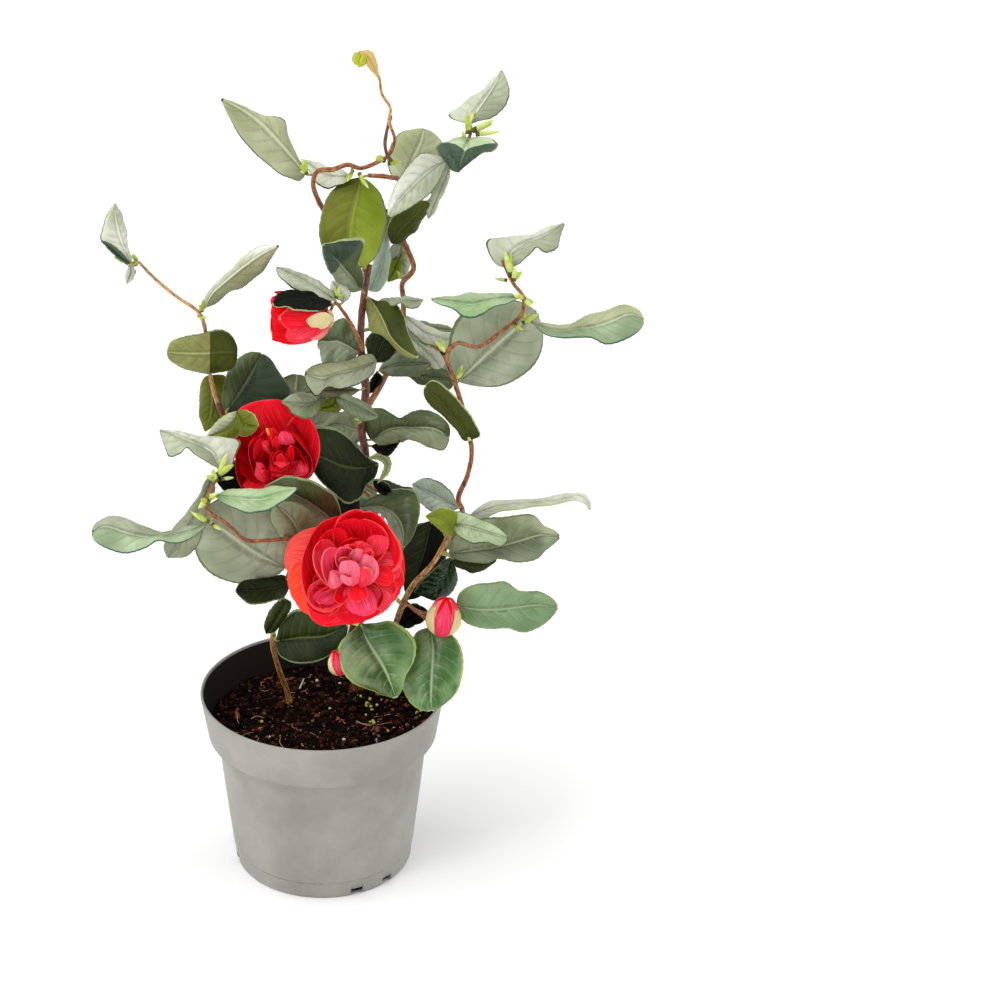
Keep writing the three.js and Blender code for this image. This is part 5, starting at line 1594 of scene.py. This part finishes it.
SPROUTS = [
    ((306, 172, -4), (-0.3, 0.8, 0.3), 10, 4, 4), ((383, 160, 8), (-0.5, 0.2, 0.5), 8, 4.5, 3),
    ((391, 163, 8), (1, 0, 0.4), 8, 4.5, 3), ((352, 172, 2), (-0.3, -0.7, 0.5), 10, 3.4, 3),
    ((360, 175, 0), (0.4, -1, 0.4), 13, 4, 2), ((468, 132, -6), (0.1, 1, 0.2), 15, 5, 2),
    ((474, 130, -6), (0.9, 0.5, 0.2), 16, 5, 2), ((478, 134, -6), (1, 0.05, 0.3), 16, 4.5, 1),
    ((465, 140, -6), (-0.2, 0.6, 0.6), 8, 4, 2), ((337, 296, -30), (0.2, 0.9, 0.3), 8, 3.2, 4),
    ((330, 304, -34), (-0.4, 0.3, 0.5), 8, 3.2, 3), ((404, 280, 42), (-0.7, 0.8, 0.2), 9, 3.4, 2),
    ((511, 274, -8), (-0.5, 1, 0.2), 17, 6, 2), ((514, 279, -10), (0.3, 1, 0.2), 9, 5, 2),
    ((505, 280, -8), (-1, 0.1, 0.2), 8, 3.4, 1), ((522, 297, -15), (-0.7, 0.1, 0.6), 8, 5, 2),
    ((525, 300, -15), (0.5, -0.6, 0.4), 8, 5, 2), ((524, 322, -8), (0.9, 0.5, 0.3), 13, 4, 3),
    ((516, 325, -6), (0.3, -0.4, 0.6), 8, 3.6, 2), ((446, 352, -29), (-0.6, 0.8, 0.3), 12, 4.4, 2),
    ((456, 378, -20), (0.5, 0.8, 0.3), 11, 4, 4), ((202, 310, -4), (0.3, 0.9, 0.2), 9, 3.6, 3),
    ((200, 316, -2), (0.9, -0.3, 0.4), 7, 3.6, 2), ((136, 260, 6), (-0.3, 0.9, 0.3), 6, 4, 2),
    ((135, 264, 6), (-0.9, -0.4, 0.4), 6, 4.6, 2), ((126, 263, 0), (-0.9, 0.5, 0.2), 12, 2.6, 2),
    ((219, 474, -76), (0.5, 1, 0.2), 17, 6, 2), ((216, 480, -78), (-0.3, 0.8, 0.2), 9, 5, 2),
    ((223, 479, -76), (1, 0.1, 0.2), 8, 3.4, 1), ((210, 497, -84), (0.6, 0.1, 0.6), 8, 5, 2),
    ((206, 501, -86), (-0.5, -0.6, 0.4), 8, 5, 2), ((207, 521, -88), (-0.9, 0.4, 0.3), 13, 4, 3),
    ((214, 525, -86), (0.6, -0.3, 0.6), 8, 3.6, 2), ((362, 420, -4), (-0.6, 0.2, 0.5), 7, 3.4, 2),
    ((470, 441, -28), (-0.2, 0.6, 0.5), 7, 4, 2), ((450, 532, -30), (-0.5, 0.6, 0.5), 8, 4, 2),
    ((278, 572, -36), (-0.5, 0.7, 0.4), 10, 3, 2), ((274, 634, -6), (-0.2, 0.7, 0.5), 7, 3.6, 3),
    ((359, 624, -46), (-0.6, 0.2, 0.6), 11, 5, 3), ((365, 268, 8), (-0.5, 0.5, 0.5), 8, 3.6, 2),
    ((363, 462, -4), (0.2, 0.4, 0.5), 7, 3.4, 2), ((401, 604, -14), (-0.4, 0.6, 0.4), 8, 3, 2),
]


def make_sprouts():
    """Grows the lime buds at the nodes."""
    for place, way, length, width, count in SPROUTS:
        sprout(sight(*place), seen(*way), length, width, count)


LEADER_LEAVES = [
    dict(base=(379, 79, -7), tip=(359, 51, -13), left=(369, 68, 363, 59), right=(377, 64, 371, 52),
         front="shoot_cream", back="shoot_cream"),
    dict(base=(364, 52, -10), tip=(359, 67, -16), left=(367, 58, 364, 65), right=(355, 53, 353, 61),
         front="shoot_lime", back="shoot_lime", stalk=False),
]


def make_leader_leaf():
    """The leader's own last leaf: a curled cream blade with a lime tip."""
    target = Joined()
    for blade in LEADER_LEAVES:
        photo_leaf(target, ripple=0.3, bulge=0.4, **blade)
    target.write("leader_leaf", "foliage")


# Pot and compost, in mm

RIM_RADIUS = 95.0
POT_HEIGHT = 148.0
BAND_FOOT_Z = 112.3
BAND_FOOT_RADIUS = 89.9
WALL_TOP_RADIUS = 82.6
FOOT_RADIUS = 71.5
FOOT_LINE_Z = 14.0
FOOT_RECESS = 1.2
BEND_RADIUS = 1.2
ON_AXIS = 0.01
POT_WALL = 2.2
POT_FLOOR = 2.8
POT_SIDES = 192
SLOT_ANGLES = (22.7, 45.7)
SLOT_REPEATS = 3
SLOT_WIDTH = 10.0
SLOT_HEIGHT = 6.5
SLOT_DEPTH = 20.0
SOIL_LEVEL = 121.0
SOIL_DROP = 1.5
SOIL_GAP = 0.5
SOIL_RINGS = 56
SOIL_SIDES = 144


def rounded(corners, radius, steps=4):
    """The outline through the corners, each cut by a short curve: points on the quadratic from radius
    before the corner to radius after it."""
    corners = np.array(corners, float)
    before = corners[:-2] - corners[1:-1]
    after = corners[2:] - corners[1:-1]
    near = np.minimum(np.linalg.norm(before, axis=1), np.linalg.norm(after, axis=1))
    size = np.minimum(radius, near * 0.45)[:, None, None]
    t = np.linspace(0, 1, steps)[None, :, None]
    bend = corners[1:-1, None] + size * (unit(before)[:, None] * (1 - t) ** 2 + unit(after)[:, None] * t**2)
    return np.vstack([corners[:1], bend.reshape(-1, 2), corners[-1:]])


def turned(profile, sides):
    """A profile of (radius, height) carried round the upright axis."""
    turn = np.linspace(0, FULL_TURN, sides, endpoint=False)[None, :]
    radius, height = profile[:, :1], profile[:, 1:]
    return np.stack([radius * np.cos(turn), radius * np.sin(turn), height + 0 * turn], -1)


def make_pot():
    """The pot's wall, band and floor as one turned shell, slightly out of round, with six drain slots."""
    foot, wall, band, rim = FOOT_RADIUS, WALL_TOP_RADIUS, BAND_FOOT_RADIUS, RIM_RADIUS
    outside = [
        (ON_AXIS, FOOT_RECESS), (foot * 0.55, FOOT_RECESS), (foot * 0.6, 0), (foot - 1.8, 0),
        (foot - 0.7, 1.8), (foot, FOOT_LINE_Z), (foot + 0.9, FOOT_LINE_Z + 0.9),
        ((foot + wall) / 2 + 0.8, 64), (wall, BAND_FOOT_Z), (band - 0.6, BAND_FOOT_Z),
        (band, BAND_FOOT_Z + 1.5), ((band + rim) / 2, 131), (rim, POT_HEIGHT - 1.4), (rim - 0.2, POT_HEIGHT),
    ]
    inside = [
        (rim - 1.9, POT_HEIGHT), (rim - 2.3, POT_HEIGHT - 1.6), (band - POT_WALL, BAND_FOOT_Z + POT_WALL),
        (wall - POT_WALL, BAND_FOOT_Z + 1), (foot - POT_WALL, POT_FLOOR), (ON_AXIS, POT_FLOOR),
    ]
    rings = turned(rounded(outside + inside, BEND_RADIUS), POT_SIDES)
    turn = np.arctan2(rings[..., 1], rings[..., 0])
    height = rings[..., 2] / POT_HEIGHT
    wobble = 1 + height * (0.0022 * np.cos(2 * turn + 0.7) + 0.0009 * np.cos(5 * turn + height * 9))
    rings[..., :2] *= wobble[..., None]
    shell = Joined()
    shell.add(rings, "pot_plastic")
    cut_slots(shell.write("pot_shell", "pot", ["pot"]))


def cut_slots(pot):
    """Cuts the drain slots out of the pot's foot, a pair at every third of a turn."""
    cutters = []
    for pair in range(SLOT_REPEATS):
        for angle in SLOT_ANGLES:
            way = math.radians(angle + 360 / SLOT_REPEATS * pair - 90)
            bpy.ops.mesh.primitive_cube_add(size=1)
            cutter = bpy.context.object
            cutter.scale = (SLOT_DEPTH * MM, SLOT_WIDTH * MM, SLOT_HEIGHT * 2 * MM)
            cutter.location = (FOOT_RADIUS * MM * math.cos(way), FOOT_RADIUS * MM * math.sin(way), 0)
            cutter.rotation_euler = (0, 0, way)
            cutters.append(cutter)
            cut = pot.modifiers.new("slot", "BOOLEAN")
            cut.object = cutter
            cut.solver = "EXACT"
    bpy.context.view_layer.update()
    cut_mesh = bpy.data.meshes.new_from_object(pot.evaluated_get(bpy.context.evaluated_depsgraph_get()))
    pot.modifiers.clear()
    pot.data = cut_mesh
    for cutter in cutters:
        bpy.data.objects.remove(cutter)


def soil_height(x, y):
    """The compost's top: broad dips, lumps and crumbs as waves of three sizes."""
    dips = 1.6 * np.sin(x * 0.09 + 1.3) * np.cos(y * 0.11 - 0.6)
    lumps = 0.9 * np.sin(x * 0.31 + 2 * np.sin(y * 0.17)) * np.cos(y * 0.27 + x * 0.13)
    crumbs = 0.45 * np.sin(x * 0.9 + y * 0.7) * np.sin(y * 1.1 - x * 0.5)
    return SOIL_LEVEL - SOIL_DROP + dips + lumps + crumbs


def make_soil():
    """The compost's body: a turned grid that keeps off the pot's wall, with a lumpy top."""
    foot, wall, band = (radius - POT_WALL for radius in (FOOT_RADIUS, WALL_TOP_RADIUS, BAND_FOOT_RADIUS))
    top = band + 0.9
    side = [
        (ON_AXIS, POT_FLOOR + 0.3), (foot - SOIL_GAP, POT_FLOOR + 0.3), (wall - SOIL_GAP, BAND_FOOT_Z + 2),
        (band - 0.4, BAND_FOOT_Z + 3), (top, SOIL_LEVEL - 2),
    ]
    rings = np.linspace(top - 1.5, ON_AXIS, SOIL_RINGS)
    body = turned(np.vstack([side, np.stack([rings, np.full(SOIL_RINGS, SOIL_LEVEL)], 1)]), SOIL_SIDES)
    surface = body[len(side):]
    surface[..., 2] = soil_height(surface[..., 0], surface[..., 1])
    compost = Joined()
    compost.add(body, "compost_black")
    compost.write("compost", "soil", ["soil"])


LUMP_HEIGHTS = np.array([-0.85, -0.3, 0.35, 0.85])
LUMP_WIDTHS = np.array([0.45, 0.95, 0.9, 0.4])
LUMP_SIDES = 6
LUMP_UNEVEN = 0.28


def scatter(target, count, size, flat, long, shares, places=None, sink=0.25):
    """Small uneven lumps lying on the compost: few-sided spindles, stretched by long and flattened by
    flat, turned at random. Size is the range of radius in mm, shares says how common each finish is,
    and sink is the share of a lump that lies in the compost."""
    turn = np.linspace(0, FULL_TURN, LUMP_SIDES, endpoint=False)
    rings = (len(LUMP_HEIGHTS), LUMP_SIDES)
    wide, high = LUMP_WIDTHS[:, None], LUMP_HEIGHTS[:, None]
    shape = np.stack([wide * np.cos(turn), wide * np.sin(turn), high + 0 * turn], -1).reshape(1, -1, 3)
    shape = shape * (1 + chance.uniform(-LUMP_UNEVEN, LUMP_UNEVEN, (count, *shape.shape[1:])))
    radius = chance.uniform(*size, count)
    shape *= radius[:, None, None] * np.array([1.0, 1.0, long])
    w, x, y, z = unit(chance.normal(0, 1, (count, 4))).T
    turns = np.stack([
        1 - 2 * (y * y + z * z), 2 * (x * y - z * w), 2 * (x * z + y * w),
        2 * (x * y + z * w), 1 - 2 * (x * x + z * z), 2 * (y * z - x * w),
        2 * (x * z - y * w), 2 * (y * z + x * w), 1 - 2 * (x * x + y * y)], -1)
    shape = np.einsum("nij,npj->npi", turns.reshape(count, 3, 3), shape)
    shape[..., 2] *= flat
    if places is None:
        out = (BAND_FOOT_RADIUS - POT_WALL - 2.5) * np.sqrt(chance.uniform(0, 1, count))
        way = chance.uniform(0, FULL_TURN, count)
        places = np.stack([out * np.cos(way), out * np.sin(way)], 1)
    ground = soil_height(places[:, 0], places[:, 1]) + radius * flat * (1 - 2 * sink)
    shape += np.column_stack([places, ground])[:, None]
    target.add_copies(rings, shape, chance.choice(list(shares), count, p=list(shares.values())))


# What lies on the compost where the photo shows it: photo points, x and y in turn

PELLETS = (361, 698, 370, 700, 367, 703, 366, 706, 371, 706, 377, 705, 372, 708, 366, 713, 370, 721,
           374, 723, 378, 722, 373, 720, 388, 731, 394, 728, 417, 714, 421, 713, 262, 721, 281, 671,
           287, 694)
GRIT = (344, 739, 376, 739, 317, 682, 340, 684, 299, 697, 304, 712, 330, 709, 270, 738)
PALE_ROOT = (298, 691, 304, 682)
CRUMBS = [
    dict(count=3300, size=(0.5, 1.9), flat=0.8, long=1.15,
         shares=dict(compost_black=0.66, compost_brown=0.31, compost_grey=0.03)),
    dict(count=260, size=(1.6, 3.4), flat=0.55, long=1.3,
         shares=dict(compost_black=0.6, compost_brown=0.4)),
]
BITS = [
    dict(count=120, size=(0.8, 2.4), flat=0.45, long=2.2,
         shares=dict(chip_red=0.6, compost_brown=0.4)),
    dict(count=90, size=(0.35, 0.8), flat=0.8, long=1.2,
         shares=dict(grit_white=0.25, compost_grey=0.45, fibre_tan=0.3)),
    dict(count=130, size=(0.4, 1.1), flat=0.4, long=2.0,
         shares=dict(fibre_tan=0.3, compost_grey=0.4, chip_red=0.3)),
]
FIBRES = 46
FIBRE_REACH = 78.0
FIBRE_LIMIT = 82.0


def on_soil(points):
    """Photo points as places (x, y) in mm on the compost's level."""
    ray = rays(*np.reshape(points, (-1, 2)).T)
    return (CAMERA_PLACE + ray * (SOIL_LEVEL - CAMERA_PLACE[2]) / ray[:, 2:])[:, :2]


def lay_fibre(target, ends, lift, count, radius, finish, sides):
    """A thin root on the compost through some places, lifted off it by some mm at each."""
    high = soil_height(ends[:, 0], ends[:, 1]) + lift
    tube(target, smooth_line(np.column_stack([ends, high]), count), radius, finish, sides)


def make_scatter():
    """Crumbs, bark chips, fibres, feed pellets and grit on the compost."""
    crumbs, bits = Joined(), Joined()
    for layer in CRUMBS:
        scatter(crumbs, **layer)
    crumbs.write("compost_crumbs", "soil")
    for layer in BITS:
        scatter(bits, **layer)
    pellets, grit = on_soil(PELLETS), on_soil(GRIT)
    scatter(bits, len(pellets), (1.25, 1.6), 0.95, 1.0, dict(pellet_lime=1.0), pellets, 0.1)
    scatter(bits, len(grit), (1.0, 1.6), 0.9, 1.0, dict(grit_white=1.0), grit, 0.1)
    for _ in range(FIBRES):
        out = FIBRE_REACH * math.sqrt(chance.uniform())
        way = chance.uniform(0, 6.28)
        middle = np.array([out * math.cos(way), out * math.sin(way)])
        drift = chance.normal(0, 1, 2)
        half = drift * chance.uniform(4, 9) / 2
        ends = np.array([middle - half, middle + np.array([drift[1], -drift[0]]) * 1.2, middle + half])
        ends = ends * min(1, FIBRE_LIMIT / max(np.linalg.norm(ends, axis=1)))
        lay_fibre(bits, ends, chance.uniform(0.8, 2.2, 3), 8, chance.uniform(0.16, 0.4), "fibre_tan", 4)
    lay_fibre(bits, on_soil(PALE_ROOT), np.array([0.5, 4.5]), 5, np.linspace(0.9, 0.4, 5), "grit_white", 6)
    bits.write("compost_bits", "soil")


# Studio, in metres

FLOOR_SIZE = 60
SKY_STRENGTH = 0.52
SKY_SPREAD = math.radians(80)
LAMPS = {
    "left_sky": dict(kind="SUN", place=(-6, -1.4, 6.4), aim=(0, 0, 0), energy=2.1, angle=SKY_SPREAD),
    "right_sky": dict(kind="SUN", place=(6, 1.2, 5.6), aim=(0, 0, 0), energy=1.35, angle=SKY_SPREAD),
    "key": dict(kind="AREA", place=(-1.1, -1.3, 2.6), aim=(0, 0, 0.3), energy=8.5, size=0.5),
}


def add_lamp(name, kind, place, aim, **values):
    """A lamp that looks from its place to its aim."""
    lamp = bpy.data.lights.new(name, kind)
    for key, value in values.items():
        setattr(lamp, key, value)
    light = bpy.data.objects.new(name, lamp)
    light.location = place
    way = np.array(aim) - np.array(place)
    light.rotation_euler = (math.atan2(math.hypot(way[0], way[1]), -way[2]), 0, math.atan2(-way[0], way[1]))
    bpy.context.scene.collection.objects.link(light)


def make_studio():
    """A white floor, soft even light from all over, a broad lamp from the upper left, and the photo's
    camera."""
    bpy.ops.mesh.primitive_plane_add(size=FLOOR_SIZE)
    floor = bpy.context.object
    floor.name = "studio_floor"
    Finish("floor_white", Base_Color=(0.95, 0.95, 0.95, 1), Roughness=0.9, Specular_IOR_Level=0.1)
    floor.data.materials.append(finishes["floor_white"])
    world = bpy.data.worlds.new("studio")
    bpy.context.scene.world = world
    world.use_nodes = True
    sky = world.node_tree.nodes["Background"]
    sky.inputs["Color"].default_value = (1, 1, 1, 1)
    sky.inputs["Strength"].default_value = SKY_STRENGTH
    for name, lamp in LAMPS.items():
        add_lamp(name, **lamp)
    lens = bpy.data.cameras.new("view")
    lens.sensor_width = SENSOR_WIDTH
    lens.lens = FOCAL_PIXELS * SENSOR_WIDTH / PHOTO_SIDE
    lens.shift_x = 0.5 - AXIS_X / PHOTO_SIDE
    lens.clip_start, lens.clip_end = 0.05, 100
    camera = bpy.data.objects.new("view", lens)
    camera.location = CAMERA_PLACE * MM
    camera.rotation_euler = (math.pi / 2 - CAMERA_PITCH, 0, 0)
    bpy.context.scene.collection.objects.link(camera)
    bpy.context.scene.camera = camera
    bpy.context.scene.view_settings.view_transform = "Standard"


make_studio()
make_stems()
make_twigs()
make_photo_leaves()
make_back_leaves()
make_leader_leaf()
make_sprouts()
make_blooms()
make_pot()
make_soil()
make_scatter()
twigs.write("twigs", "bark")
stalks.write("leaf_stalks", "foliage")
buds.write("leaf_buds", "foliage")
